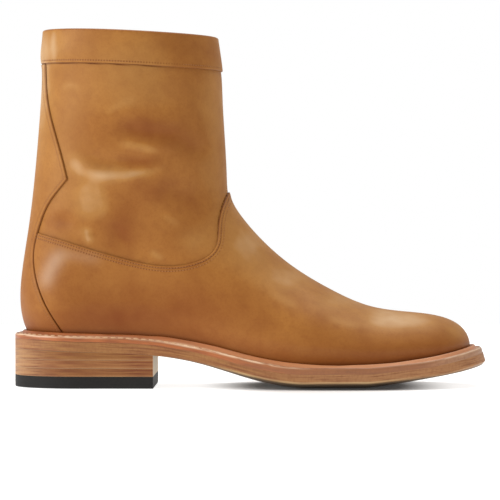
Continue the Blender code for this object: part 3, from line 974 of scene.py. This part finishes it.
def welt_leather():
    """Vegetable-tanned welt leather, burnished and waxed: reddish tan, with glossy high spots.

    The bead is redder than the trimmed edge and lighter towards the toe, partly as a painted highlight; dark
    wax and painted shade lie in the crease by the upper, and the outer corner has a painted glint in short
    pale runs.
    """
    marks = ("layer", "crease", "light", "edge", "sanded", "painted_glint")
    material, add, place, *read = new_material("burnished_welt_leather", marks)
    layer, crease, light, edge, sanded, painted_glint = read

    # Streaks about 14 mm long and a millimetre or so high, and runs of the painted glint about 9 mm long.
    flat = edge_place(add, place, layer, 9.0)
    streak, glint_runs = (
        add("TexNoise", {"Vector": flat, "Scale": per_metre(size), "Detail": 5.0}) for size in (14.0, 9.0)
    )
    knife = knife_marks(add, place, layer)
    # The edge shows the streaks at half their strength, and the knife's marks a little weaker.
    edge_streaks, cuts = (add("Math", (edge, share), operation="MULTIPLY") for share in (0.5, 0.4))
    layers = (
        (streak, 0.35, 0.68, 1.0, "#8A481A"),
        # Partly a painted highlight: the bead is lighter towards the toe, where its gloss catches the light.
        (light, 0.0, 1.0, 1.0, "#D08E5E"),
        (edge, 0.0, 1.0, 1.0, "#965F36"),
        # Sanded pale, and at the toe's lip also a painted highlight.
        (sanded, 0.0, 1.0, 1.0, "#BC9270"),
        (streak, 0.35, 0.68, edge_streaks, "#7C4A2A"),
        (knife, 0.45, 0.75, cuts, "#7C4A2A"),
        # Dark wax and painted shade in the crease between the bead and the upper.
        (crease, 0.0, 1.0, 1.0, "#6E3212"),
        # A painted highlight: pale glint on the welt's outer corner, in short runs.
        (glint_runs, 0.30, 0.54, painted_glint, "#F0D0AC"),
    )
    ripple = add("TexNoise", {"Vector": place, "Scale": per_metre(2.4), "Detail": 3.0})
    look = {
        "Base Color": layered(add, "#AA5E28", layers),
        "Normal": add("Bump", {"Height": ripple, "Strength": 0.25, "Distance": 0.5 * MM}),
        "Roughness": 0.38,
        "Coat Weight": 0.15,
        "Coat Roughness": 0.3,
    }
    return finished(material, look)


def sole_leather(name):
    """Vegetable-tanned sole leather, its edge trimmed, sanded and stained; the tread and breast are bare.

    The edge shows the layers of the hide as fine level streaks, with the upright marks of the trimming
    knife across them. A pale line runs along its foot in broken stretches. The outsole's bare tread is
    painted dark brown, as painted shade under the boot.
    """
    light, mid, streaks, bare_face_and_painted_shade, foot, sanded, tool_marks, foot_height = SOLE_FINISHES[name]
    marks = ("layer", "stain", "line", "sanded")
    material, add, place, layer, stain, foot_line, sanding = new_material(name, marks)

    # A millimetre up the edge counts as 22 along it, so streaks are long and thin.
    flat = edge_place(add, place, layer, 22.0)
    broad = add("TexNoise", {"Vector": flat, "Scale": per_metre(34.0), "Detail": 3.0})
    streak = add("TexNoise", {"Vector": flat, "Scale": per_metre(16.0), "Detail": 5.0})
    knife = knife_marks(add, place, layer)
    # The line at the foot of the edge is worn off where the streaks are dark.
    kept = add("MapRange", (broad, 0.75, 0.45, 0.0, foot_line))
    layers = (
        (broad, 0.36, 0.64, 1.0, mid),
        (sanding, 0.0, 1.0, 1.0, sanded),
        (streak, 0.5, 0.72, 0.8, streaks),
        (knife, 0.45, 0.75, tool_marks, streaks),
        (layer, foot_height + LINE_FADE, foot_height - LINE_FADE, kept, foot),
        # The bare faces; the outsole's is dark, a painted shade under the boot.
        (stain, 1.0, 0.0, 1.0, bare_face_and_painted_shade),
    )
    ridges = add("Bump", {"Height": streak, "Strength": 0.35, "Distance": 0.4 * MM})
    look = {
        "Base Color": layered(add, light, layers),
        "Normal": add("Bump", {"Height": knife, "Normal": ridges, "Strength": 0.2, "Distance": 0.3 * MM}),
        "Roughness": 0.5,
        "Specular IOR Level": 0.3,
        "Coat Weight": 0.05,
        "Coat Roughness": 0.35,
    }
    return finished(material, look)


def heel_rubber():
    """Moulded heel rubber: charcoal, matt, with a fine sandy skin that catches a little light."""
    material, add, place = new_material("moulded_heel_rubber")
    grit = add("TexNoise", {"Vector": place, "Scale": per_metre(1.3), "Detail": 3.0})
    base = layered(add, "#141312", [(grit, 0.0, 1.0, 1.0, "#211F1D")])
    skin = add("Bump", {"Height": grit, "Strength": 0.3, "Distance": 0.3 * MM})
    look = {"Base Color": base, "Normal": skin, "Roughness": 0.62, "Specular IOR Level": 0.22}
    return finished(material, look)


def waxed_thread(name, light, dark, ply_mm):
    """Waxed polyester thread, twisted: a soft sheen, with the plies as slanting darker lines."""
    material, add, place = new_material(name)
    ply = {"Vector": place, "Scale": per_metre(ply_mm), "Distortion": 0.5}
    twist = add("TexWave", ply, "Fac", bands_direction="DIAGONAL")
    base = layered(add, dark, [(twist, 0.0, 1.0, 1.0, light)])
    plies = add("Bump", {"Height": twist, "Strength": 0.3, "Distance": 0.1 * MM})
    return finished(material, {"Base Color": base, "Normal": plies, "Roughness": 0.45})


def last_points(place, sign):
    """Points on the last over side-view places, on the outer side (-1) or the inner side (1)."""
    x, z = np.moveaxis(place, -1, 0)
    breadth = half_breadths(x, z)[0 if sign < 0 else 1]
    return np.stack([x, centre_y(x) + sign * breadth, z], axis=-1)


def lengths_along(path):
    """Length from a path's start to each of its points."""
    return np.append(0.0, np.cumsum(np.linalg.norm(np.diff(path, axis=0), axis=1)))


def laid_along(points, along, path):
    """Lengths along a side-view path turned into lengths along it as laid on either side of the last."""
    drawn = lengths_along(path)
    outer, inner = (np.interp(along, drawn, lengths_along(last_points(path, sign))) for sign in (-1.0, 1.0))
    return np.where(off_centre(points) > 0, inner, outer)


def build_upper():
    """The shaft and lasted foot: rings of the last lifted by the creases, with a wall behind them."""
    face = leather_rings(feather_z, rim_z, even(RINGS), crowded(STEPS + 1))
    normal = face_normals(face, closed=True)
    outer = face + normal * folds(face)[..., None]
    inner = outer - normal * (WALL - LINING - GAP)
    place = side_view(face)
    from_vamp, along = distances(place, VAMP_TOP)
    # Along the cuff's foot the wax is joined by painted shadow, which the cuff's edge would cast on the
    # upper.
    gaps = [from_vamp, distances(place, STRIP_EDGE)[0], distances(place, CUFF_FOOT)[0] * CUFF_SHADE]
    inks = [table_run(VAMP_INK_ROWS, along)[0], np.zeros_like(along), cuff_ink(place[..., 0], CUFF_WAX_AND_SHADE)]
    ink = np.choose(np.argmin(gaps, axis=0), inks)
    points, quads = shell(outer, inner, closed=True)
    marks = twice(leather_marks(face, seam=np.min(gaps, axis=0), ink=ink))
    finish = oiled_nubuck("oiled_nubuck_shaft")
    piece("upper_leather", points, quads, finish, "oiled_leather", ["upper"], marks)


def build_lining():
    """The lining: the same rings, further in, down to the insole."""
    face = leather_rings(feather_z, rim_z, even(LINING_RINGS), crowded(LINING_STEPS + 1))
    normal = face_normals(face, closed=True)
    outer = face + normal * (folds(face)[..., None] - WALL + LINING)
    points, quads = shell(outer, outer - normal * LINING, closed=True)
    piece("lining", points, quads, lining_leather(), "insole_leather")


def panel_lift(away, edge_share):
    """Height of a panel's face above the upper: from a share of its thickness at the edge, rounded off."""
    inward = 1 - np.clip(away / EDGE_ROUND, 0.0, 1.0)
    return GAP + PANEL * (edge_share + (1 - edge_share) * np.sqrt(1 - inward**2))


def build_panel(name, face, paths, row_path, inks, edge_share, finish):
    """A panel on the upper: a patch of the last lifted by its thickness, with rounded edges along its paths.

    The inks are the wax's darkness along the first path and along the others, and row_path has its stitches.
    """
    normal = face_normals(face, closed=False)
    place = side_view(face)
    gaps = [distances(place, path)[0] for path in paths]
    away = np.min(gaps, axis=0)
    row, along = distances(place, row_path)
    first_ink, other_ink, groove, holes = inks(along)
    along = laid_along(face, along, row_path)
    ink = np.where(np.argmin(gaps, axis=0) == 0, first_ink, other_ink)
    folded = folds(face)
    outer = face + normal * (folded + panel_lift(away, edge_share))[..., None]
    inner = face + normal * (folded + GAP)[..., None]
    points, quads = shell(outer, inner, closed=False)
    marks = twice(leather_marks(face, seam=away, ink=ink, row=row, along=along, groove=groove, holes=holes))
    piece(name + "_leather", points, quads, finish, "oiled_leather", [name], marks)


def build_vamp():
    """The vamp: from the seam at the back strip over the front edge, round to the seam on the other side."""
    front_starts = crossing(front_line, feather_z)
    front = stretch(front_line, front_starts, vamp_peaks)
    foot = level(feather_z, vamp_seam(0.0)[0], front(0.0)[0])
    up = 1 - (1 - even(VAMP_RINGS)) ** VAMP_CROWDING
    face = both_sides(patch(foot, vamp_top, vamp_seam, front, up, crowded(STEPS + 1)), closed=False)

    def inks(along):
        """Wax along the top edge and along the seam, then the groove and the needle holes."""
        ink, groove, holes = table_run(VAMP_INK_ROWS, along)
        return ink, STRIP_INK, groove, holes

    finish = oiled_nubuck("oiled_nubuck_vamp", VAMP_STITCH_ROWS, VAMP_GROOVE)
    build_panel("vamp", face, (VAMP_TOP, VAMP_SEAM), VAMP_TOP, inks, VAMP_EDGE_SHARE, finish)


def build_back_strip():
    """The back strip: level rows from its edge to the back of the boot, and round to the other edge."""
    foot_edge = stretch(strip_foot, strip_starts, 1.0)(even(STRIP_FOOT_RINGS))
    leg_edge = stretch(strip_leg, 0.0, strip_ends)(even(STRIP_LEG_RINGS))
    edge = np.concatenate([foot_edge, leg_edge[1:]])
    share = smooth_step(even(STRIP_STEPS + 1), 0.0, 1.0)
    up = even(len(edge))[:, None]
    x = edge[:, :1] + (back_x(edge[:, 1:]) - edge[:, :1]) * share
    z = edge[:, 1:] + (feather_z(x) - feather_z(edge[:, :1])) * (1 - up) ** STRIP_FOOT_BEND
    face = both_sides(np.stack([x, z], axis=-1), closed=False)

    def inks(along):
        """The same wax and groove all along its edge, with no needle holes."""
        return STRIP_INK, STRIP_INK, np.full_like(along, STRIP_GROOVE), np.zeros_like(along)

    finish = oiled_nubuck("oiled_nubuck_back_strip", groove_at=STRIP_STITCH_ROW)
    build_panel("back_strip", face, (STRIP_EDGE,), STRIP_EDGE, inks, STRIP_EDGE_SHARE, finish)


def build_cuff():
    """The folded cuff: a section carried round the collar, down the outside, over the rim and down inside."""
    turn = np.linspace(0.0, np.pi, CUFF_ROLL_POINTS)
    out_face, in_face = GAP + CUFF, -WALL - GAP - CUFF / 2
    middle, reach = (out_face + in_face) / 2, (out_face - in_face) / 2
    roll = np.column_stack([middle + reach * np.cos(turn), CUFF_HEIGHT - CUFF_ROLL * (1 - np.sin(turn))])
    up = np.linspace(CUFF_SIDE_STARTS, CUFF_HEIGHT - CUFF_ROLL, CUFF_SIDE_POINTS)[:-1]
    side = np.column_stack([out_face + CUFF_BULGE * np.sin(np.pi * up / up[-1]), up])
    flat, corner = (GAP + share * CUFF for share in CUFF_EDGE_SHARES)
    edge = [(GAP, 0.0), (flat, 0.0), (corner, CUFF_CORNER)]
    under = CUFF_HEIGHT - RIM_DROP + GAP
    facing = CUFF_HEIGHT - CUFF_FACING
    inside = [(in_face, facing + CUFF_CORNER), (in_face + CUFF_FACING_CORNER, facing), (-WALL - GAP, facing)]
    back = [(-WALL - GAP, under), (GAP, under)]
    section = np.concatenate([edge, side, roll, inside, back])
    up = np.clip(section[:, 1] / CUFF_HEIGHT, 0.0, 1.0)
    rings = leather_rings(cuff_foot_z, collar_z, up, crowded(STEPS + 1))
    normal = plan_normals(rings[..., :2])
    points = rings.copy()
    points[..., :2] += normal * section[:, :1, None]
    outer = section[:, 0] > 0
    seam = np.where(outer, section[:, 1], CUFF_HEIGHT)[:, None] * np.ones(rings.shape[1])
    along = laid_along(rings, distances(side_view(rings), CUFF_FOOT)[1], CUFF_FOOT)
    ink, holes = (cuff_ink(rings[..., 0], share) for share in (CUFF_WAX_AND_SHADE, CUFF_HOLES))
    marks = leather_marks(rings, seam=seam, ink=ink, row=seam, along=along, holes=holes)
    # Painted shade: the top of the cuff's roll is painted darker.
    marks["tone_and_painted_light"] += smooth_step(section[:, 1:], CUFF_HEIGHT - RIM_PAINTED_SHADE_DEPTH, CUFF_HEIGHT) * RIM_PAINTED_SHADE
    quads = grid(*rings.shape[:2], wrap_rows=True, wrap_columns=True)
    finish = oiled_nubuck("oiled_nubuck_cuff", (CUFF_STITCH_ROW,))
    piece("cuff_leather", points, quads, finish, "oiled_leather", ["cuff"], marks)


FOOT_RING = leather_rings(feather_z, rim_z, np.zeros(2), crowded(SOLE_STEPS + 1))[0, :, :2]
FOOT_X = FOOT_RING[:, 0]
FOOT_NORMALS = plan_normals(FOOT_RING)
REACH = sole_reach(FOOT_X)

# The sole's edge stands square to the sole, so at the toe, where the sole rises, it leans back.
LEAN = TOE_LEAN * smooth_step(FOOT_X, *LEAN_RUN) * np.maximum(FOOT_NORMALS[:, 0], 0.0)
WELT_REACH = REACH - LEAN * (OUTSOLE + WELT)

# The welt's channel ends short of the trimmed edge.
CHANNEL_STARTS = WELT_ROWS[-1][0]
CHANNEL_ENDS = CHANNEL_STARTS + np.maximum(WELT_REACH - WELT_BEVEL - CHANNEL_STARTS, 0.0) * CHANNEL_SHARE


def plan_outline(out):
    """The foot of the leather in plan, moved outwards by a distance for each point."""
    return FOOT_RING + FOOT_NORMALS * np.reshape(np.broadcast_to(out, len(FOOT_RING)), (-1, 1))


def soften(section, times):
    """Corner cutting on a closed section: each side keeps its middle half, and the corners are bridged."""
    for _ in range(times):
        after = np.roll(section, -1, axis=0)
        section = np.stack([section * 0.75 + after * 0.25, section * 0.25 + after * 0.75], axis=1)
        section = section.reshape(-1, *after.shape[1:])
    return section


def build_welt():
    """The welt: its section of shelf, bead, channel and trimmed edge, softened and carried round the foot."""
    channel, bead, climb, light, painted_glint = table_run(WELT_RUN_ROWS, FOOT_X)
    one = np.ones(len(REACH))
    section = [
        (out * one, up - sinks * channel + with_bead * bead + with_lip * climb)
        for out, up, sinks, with_bead, with_lip in WELT_ROWS
    ]
    foot = REACH - LEAN * OUTSOLE
    lip = WELT + climb
    dip = -WELT_DIP * light
    bevel = WELT_BEVEL * (1 + smooth_step(FOOT_X, *LIP_BEVEL_RUN))
    section += [(CHANNEL_ENDS, lip - channel), (WELT_REACH - bevel, lip), (WELT_REACH, lip - bevel)]
    section.append(((foot + WELT_REACH) / 2, WELT_EDGE_MIDDLE * one))
    section += [(foot, dip), (foot - WELT_FOOT_INSET, dip)]
    section = soften(np.moveaxis(np.array(section), 1, -1), WELT_SOFTENED)
    out, up = section[..., 0], section[..., 1]
    plan = FOOT_RING + FOOT_NORMALS * out[..., None]
    points = np.concatenate([plan, (outsole_top(plan[..., 0]) + WELT_SEAT + up)[..., None]], axis=-1)
    trimmed = smooth_step(out, *(CHANNEL_ENDS + end for end in EDGE_BLEND))
    # A painted glint along the welt's outer corner, where its top turns down.
    glint_band = np.exp(-(((out - WELT_REACH + GLINT_INSET) / GLINT_HALF_WIDTH) ** 2))
    glint_band *= smooth_step(up, *(height + climb for height in GLINT_HEIGHTS))
    marks = {
        "layer": up,
        "crease": smooth_step(out, *CREASE_RUN) * WELT_CREASE,
        "light": light * (1 - trimmed),
        "edge": trimmed * smooth_step(plan[..., 0], *WELT_EDGE_RUN) * WELT_EDGE,
        "sanded": trimmed * smooth_step(plan[..., 0], *WELT_SANDED_AND_HIGHLIGHT_RUN) * WELT_SANDED_AND_HIGHLIGHT,
        "painted_glint": glint_band * painted_glint,
    }
    quads = grid(*points.shape[:2], wrap_rows=True, wrap_columns=True)
    piece("welt_strip", points, quads, welt_leather(), "welt_leather", ["welt"], marks)


def layer_sides(reach):
    """A layer's outer and inner edges from back to front, as a function of how far they are drawn in."""
    front = len(FOOT_RING) // 2

    def sides(drawn_in):
        ring = plan_outline(reach - drawn_in(FOOT_X))
        return ring[: front + 1], ring[-np.arange(front + 1)]

    return sides


SQUARE = fixed(LAYER_BEVEL)
NONE = fixed(0.0)


def slab(
    name, ending, material, slot, sides, low, high,
    bevel=SQUARE, breast=False, lean=NONE, foot_line=NONE, sanded=NONE,
):
    """A layer of the sole as cross sections from back to front, each a loop of tread, side, top and side.

    Low and high give heights from x and from the share of the way from the middle to the edge. The loop's
    lower flat run is drawn in by the bevel, which depends on x, and the upper one by a slight bevel and the
    lean. A breast closes the front with a flat face, foot_line is how strong the pale line along the foot is,
    and sanded is how far the edge was sanded again.
    """
    full, leant = sides(NONE), sides(lean)
    across = even(SLAB_COLUMNS + 1)[None, :, None]
    share = np.abs(2 * across[..., 0] - 1)
    runs = []
    stains = []
    for height, drawn_in, far in ((low, bevel, 1), (high, lambda x: LAYER_BEVEL + lean(x), 0)):
        order = 1 if far else -1
        first, last = sides(drawn_in)[::order]
        run = first[:, None] * (1 - across) + last[:, None] * across
        x = full[far][:, 0]
        climb = even(SLAB_SIDE_ROWS + 1)[None, ::order, None]
        bottom, top = low(x, 1.0) + bevel(x), high(x, 1.0) - LAYER_BEVEL
        z = bottom[:, None, None] * (1 - climb) + top[:, None, None] * climb
        side = full[far][:, None] * (1 - climb) + leant[far][:, None] * climb
        runs += [np.concatenate([run, height(run[..., 0], share)[..., None]], axis=-1)]
        runs += [np.concatenate([side, z], axis=-1)]
        stains += [np.zeros(run.shape[:2]), np.ones(side.shape[:2])]
    points = np.concatenate(runs, axis=1)
    stain = np.concatenate(stains, axis=1)
    rows, columns = points.shape[:2]
    faces = grid(rows, columns, wrap_columns=True).tolist()
    if breast:
        stain[-1] = 0.0
        faces.append(list(range((rows - 1) * columns, rows * columns)))
    x = points[..., 0]
    layer = np.maximum(points[..., 2] - low(x, 1.0), 0.0)
    marks = {"layer": layer, "stain": stain, "line": foot_line(x), "sanded": sanded(x)}
    piece(name + ending, points, faces, material, slot, [name], marks)


def build_sole():
    """The outsole, and the insole inside the upper."""

    def tread(x, share):
        """Level from its middle to the flat share, then curving up to its edge, and lower at the toe."""
        edge = np.maximum(share - FLAT_SHARE, 0.0) / (1 - FLAT_SHARE)
        return tread_z(x) + sole_crown(x) * edge**2 - TOE_DROP * smooth_step(x, *TOE_DROP_RUN)

    def bevel(x):
        """The tread's edge is bevelled ahead of the heel, and square where the heel is nailed on."""
        return LAYER_BEVEL + TREAD_BEVEL * (smooth_step(x, *TREAD_BEVEL_RUN) + smooth_step(x, *TOE_BEVEL_RUN))

    def top(x, share):
        """The upper face, just under the welt."""
        return outsole_top(x) + LAYER_GAP

    def insole_foot(x, share):
        """The insole lies a gap above the outsole."""
        return outsole_top(x) + GAP

    def insole_top(x, share):
        """It stands a little above the foot of the leather."""
        return feather_z(x) + INSOLE_RISE

    def foot_line(x):
        """The pale line sets in past the waist and is mostly worn off towards the toe."""
        worn = FOOT_LINE_WORN * smooth_step(x, *FOOT_LINE_ENDS)
        return FOOT_LINE * smooth_step(x, *FOOT_LINE_RUN) * (1 - worn)

    def sanded(x):
        """The edge was sanded again towards the toe, and at the very back."""
        return SANDED * smooth_step(x, *SANDED_RUN) + SANDED_BACK * smooth_step(x, *SANDED_BACK_RUN)

    finish = ("_leather", sole_leather("trimmed_sole_leather"), "sole_leather")
    traits = {"lean": fixed(LEAN * OUTSOLE), "foot_line": foot_line, "sanded": sanded}
    slab("outsole", *finish, layer_sides(REACH), tread, top, bevel, **traits)
    finish = ("_leather", sole_leather("plain_insole_leather"), "insole_leather")
    slab("insole", *finish, layer_sides(-WALL - SEAM), insole_foot, insole_top)


def build_heel():
    """The rubber top piece on the floor, and leather lifts up to the outsole; the highest lift is a wedge."""
    # Sections crowd towards the back, and two lie close together at the breast, to keep its edge sharp.
    share = np.append(even(SOLE_STEPS // 2)[:-1] ** 2, BREAST_SHARES)

    def heel_sides(drawn_in):
        """The sole's edges from the back to the breast, at the heel's own sections."""
        sides = []
        for half in layer_sides(REACH)(drawn_in):
            x = half[0, 0] + (HEEL_BREAST - half[0, 0]) * share
            sides.append(np.column_stack([x, np.interp(x, half[:, 0], half[:, 1])]))
        return sides

    def flat(z):
        """A level face."""
        return lambda x, share: np.full(np.shape(x), z)

    def seat(x, share):
        """The highest lift follows the tread that it carries."""
        return tread_z(x) - LAYER_GAP

    finish = ("_rubber", heel_rubber(), "top_rubber")
    top = flat(TOP_PIECE + GAP - LAYER_GAP)
    slab("heel_top_piece", *finish, heel_sides, flat(0.0), top, fixed(RUBBER_BEVEL), breast=True)

    def sanded(x):
        """The lifts' edge was sanded again at the very back."""
        return LIFT_SANDED * smooth_step(x, *SANDED_BACK_RUN)

    traits = {"foot_line": fixed(LIFT_LINE), "sanded": sanded}
    low = TOP_PIECE + GAP
    for number in range(HEEL_LIFTS, 0, -1):
        high = seat if number == 1 else flat(low + HEEL_LIFT + GAP - LAYER_GAP)
        finish = ("_leather", sole_leather(f"stacked_heel_leather_{number}"), "sole_leather")
        slab(f"heel_lift_{number}", *finish, heel_sides, flat(low), high, breast=True, **traits)
        low += HEEL_LIFT + GAP


def stitch_mesh(centre, along, up, length, width):
    """Stitches as joined meshes: each is a bar with round ends, swept along its seam with its height in up.

    A stitch's half breadth at a share t of its length from -1 to 1 is the width times the root of 1 - t^4.
    """
    t = np.sin(np.linspace(-np.pi / 2, np.pi / 2, STITCH_RINGS))[:, None]
    turn = np.linspace(0.0, 2 * np.pi, STITCH_SIDES + 1)[:-1]
    breadth = np.sqrt(np.maximum(1 - t**4, 0.0)) * width / 2
    bar = np.stack([t * length / 2 + 0 * turn, breadth * np.cos(turn), breadth * np.sin(turn)], axis=-1)
    across = np.cross(up, along)
    axes = np.stack([along, across, up], axis=1)
    points = centre[:, None, None] + np.einsum("tri,nij->ntrj", bar, axes)
    quads = grid(STITCH_RINGS, STITCH_SIDES, wrap_columns=True)
    offsets = np.arange(len(centre)) * STITCH_RINGS * STITCH_SIDES
    return points.reshape(-1, 3), (quads[None] + offsets[:, None, None]).reshape(-1, 4)


def last_normals(place, sign):
    """Unit normals of the last over side-view places, from small steps forwards and upwards."""
    steps = np.eye(2) * NORMAL_STEP
    forward, upward = (last_points(place + step, sign) - last_points(place - step, sign) for step in steps)
    return unit(np.cross(forward, upward) * -sign)


def stitch_row(path, aside, lift, pitch, start=0.0, end=1.0):
    """Where the stitches of a row sit, which way they run and which way is up, on both sides.

    A seam's path is moved aside in the side view and laid on the last, with a stitch at every pitch.
    """
    run = unit(np.gradient(path, axis=0))
    row = path + aside * np.column_stack([run[:, 1], -run[:, 0]])
    rows = []
    for sign in (-1.0, 1.0):
        length = lengths_along(last_points(path, sign))
        at = np.arange(np.ceil(start * length[-1] / pitch), end * length[-1] / pitch) * pitch
        points = last_points(row, sign)
        normal = last_normals(row, sign)
        points = points + normal * (lift + folds(points))[:, None]
        centre, along, up = (
            np.column_stack([np.interp(at, length, values[:, i]) for i in range(3)])
            for values in (points, np.gradient(points, axis=0), normal)
        )
        up = unit(up)
        rows.append((centre, unit(along - up * np.sum(along * up, axis=1, keepdims=True)), up))
    return [np.concatenate(values) for values in zip(*rows)]


def build_stitches():
    """Thread in the panels' seams and in the welt."""
    top = GAP + PANEL
    strip_top = top - STRIP_STITCH_SINK
    rows = [stitch_row(VAMP_TOP, aside, top, PANEL_PITCH, end=VAMP_ROW_END) for aside in VAMP_STITCH_ROWS]
    rows += [stitch_row(path, -STRIP_STITCH_ROW, strip_top, PANEL_PITCH) for path in (STRIP_FOOT, STRIP_LEG)]
    rows.append(stitch_row(CUFF_FOOT, -CUFF_STITCH_ROW, GAP + CUFF, PANEL_PITCH, *CUFF_ROW))
    centre, along, up = (np.concatenate(values) for values in zip(*rows))
    points, quads = stitch_mesh(centre, along, up, PANEL_STITCH, PANEL_THREAD)
    tan = waxed_thread("waxed_tan_thread", "#A86F36", "#8C5422", 0.4)
    piece("panel_stitches", points, quads, tan, "oiled_leather")

    ring = plan_outline((CHANNEL_STARTS + CHANNEL_ENDS) / 2)
    channel, _, climb, *_ = table_run(WELT_RUN_ROWS, FOOT_X)
    ring = np.column_stack([ring, outsole_top(ring[:, 0]) + WELT_SEAT + WELT + climb - channel])
    ring = np.concatenate([ring, ring[:1]])
    length = lengths_along(ring)
    at = np.arange(0.0, length[-1], length[-1] / round(length[-1] / WELT_PITCH))
    centre = np.column_stack([np.interp(at, length, ring[:, i]) for i in range(3)])
    along = unit(np.roll(centre, -1, axis=0) - np.roll(centre, 1, axis=0))
    up = unit(np.array((0.0, 0.0, 1.0)) - along * along[:, 2:])
    points, quads = stitch_mesh(centre, along, up, WELT_STITCH, WELT_THREAD)
    cream = waxed_thread("waxed_cream_thread", "#DDB890", "#B98A60", 0.8)
    piece("welt_stitches", points, quads, cream, "welt_leather")


def stand(name, data, place, aim):
    """A light or the camera, put in its place and turned towards an aim."""
    made = bpy.data.objects.new(name, data)
    made.location = place
    made.rotation_mode = "QUATERNION"
    made.rotation_quaternion = (Vector(aim) - Vector(place)).to_track_quat("-Z", "Y")
    bpy.context.scene.collection.objects.link(made)
    return made


def glowing_floor_paint():
    """Matt white paint with painted glow, stronger under the boot, with a soft dark oval under its ball."""
    material, add, place = new_material("matt_white_glowing_floor")
    shade = add("TexNoise", {"Vector": place, "Scale": per_metre(500.0)})
    base = layered(add, "#F2F1EF", [(shade, 0.0, 1.0, 1.0, "#EFEEEC")])
    glow = FLOOR_GLOW
    for spot, size, strength in GLOW_OVALS:
        oval = add("Mapping", {"Vector": place, "Location": spot, "Scale": size}, vector_type="TEXTURE")
        away = add("VectorMath", (oval,), "Value", operation="LENGTH")
        glow = add("MapRange", (away, *GLOW_FADE, strength, glow), interpolation_type="SMOOTHSTEP")
    light = {"Emission Color": linear("#FFFFFF"), "Emission Strength": glow}
    return finished(material, {"Base Color": base, "Roughness": 0.9, **light})


def build_stage():
    """A pale floor that glows a little, a soft box on the left, another overhead, and an even pale room."""
    corners = [(-1, -1), (1, -1), (1, 1), (-1, 1)]
    mesh = bpy.data.meshes.new("floor")
    mesh.from_pydata([(x * FLOOR_HALF, y * FLOOR_HALF, -FLOOR_DROP) for x, y in corners], [], [(0, 1, 2, 3)])
    mesh.materials.append(glowing_floor_paint())
    floor = bpy.data.objects.new("floor", mesh)
    bpy.context.scene.collection.objects.link(floor)

    # The room gives even light, and is plain white where the camera sees it.
    world = bpy.data.worlds.new("pale_room")
    world.use_nodes = True
    tree = world.node_tree
    seen = node(tree, "LightPath", (), "Is Camera Ray")
    strength = node(tree, "MapRange", (seen, 0.0, 1.0, ROOM_LIGHT, 1.0))
    feed(tree, tree.nodes["Background"], {"Color": linear("#FFFFFF"), "Strength": strength})
    bpy.context.scene.world = world

    for name, place, aim, size, power in SOFT_BOXES:
        light = bpy.data.lights.new(name, "AREA")
        light.shape = "RECTANGLE"
        light.size, light.size_y = size
        light.energy = power
        stand(name, light, place, aim)
    bpy.context.scene.view_settings.view_transform = "Standard"


def build_camera():
    """The camera stands a little ahead of the boot's middle, at the height of its shaft."""
    data = bpy.data.cameras.new("camera")
    data.lens = LENS
    data.sensor_width = SENSOR
    bpy.context.scene.camera = stand("camera", data, EYE, AIM)


build_upper()
build_lining()
build_vamp()
build_back_strip()
build_cuff()
build_welt()
build_sole()
build_heel()
build_stitches()
build_stage()
build_camera()
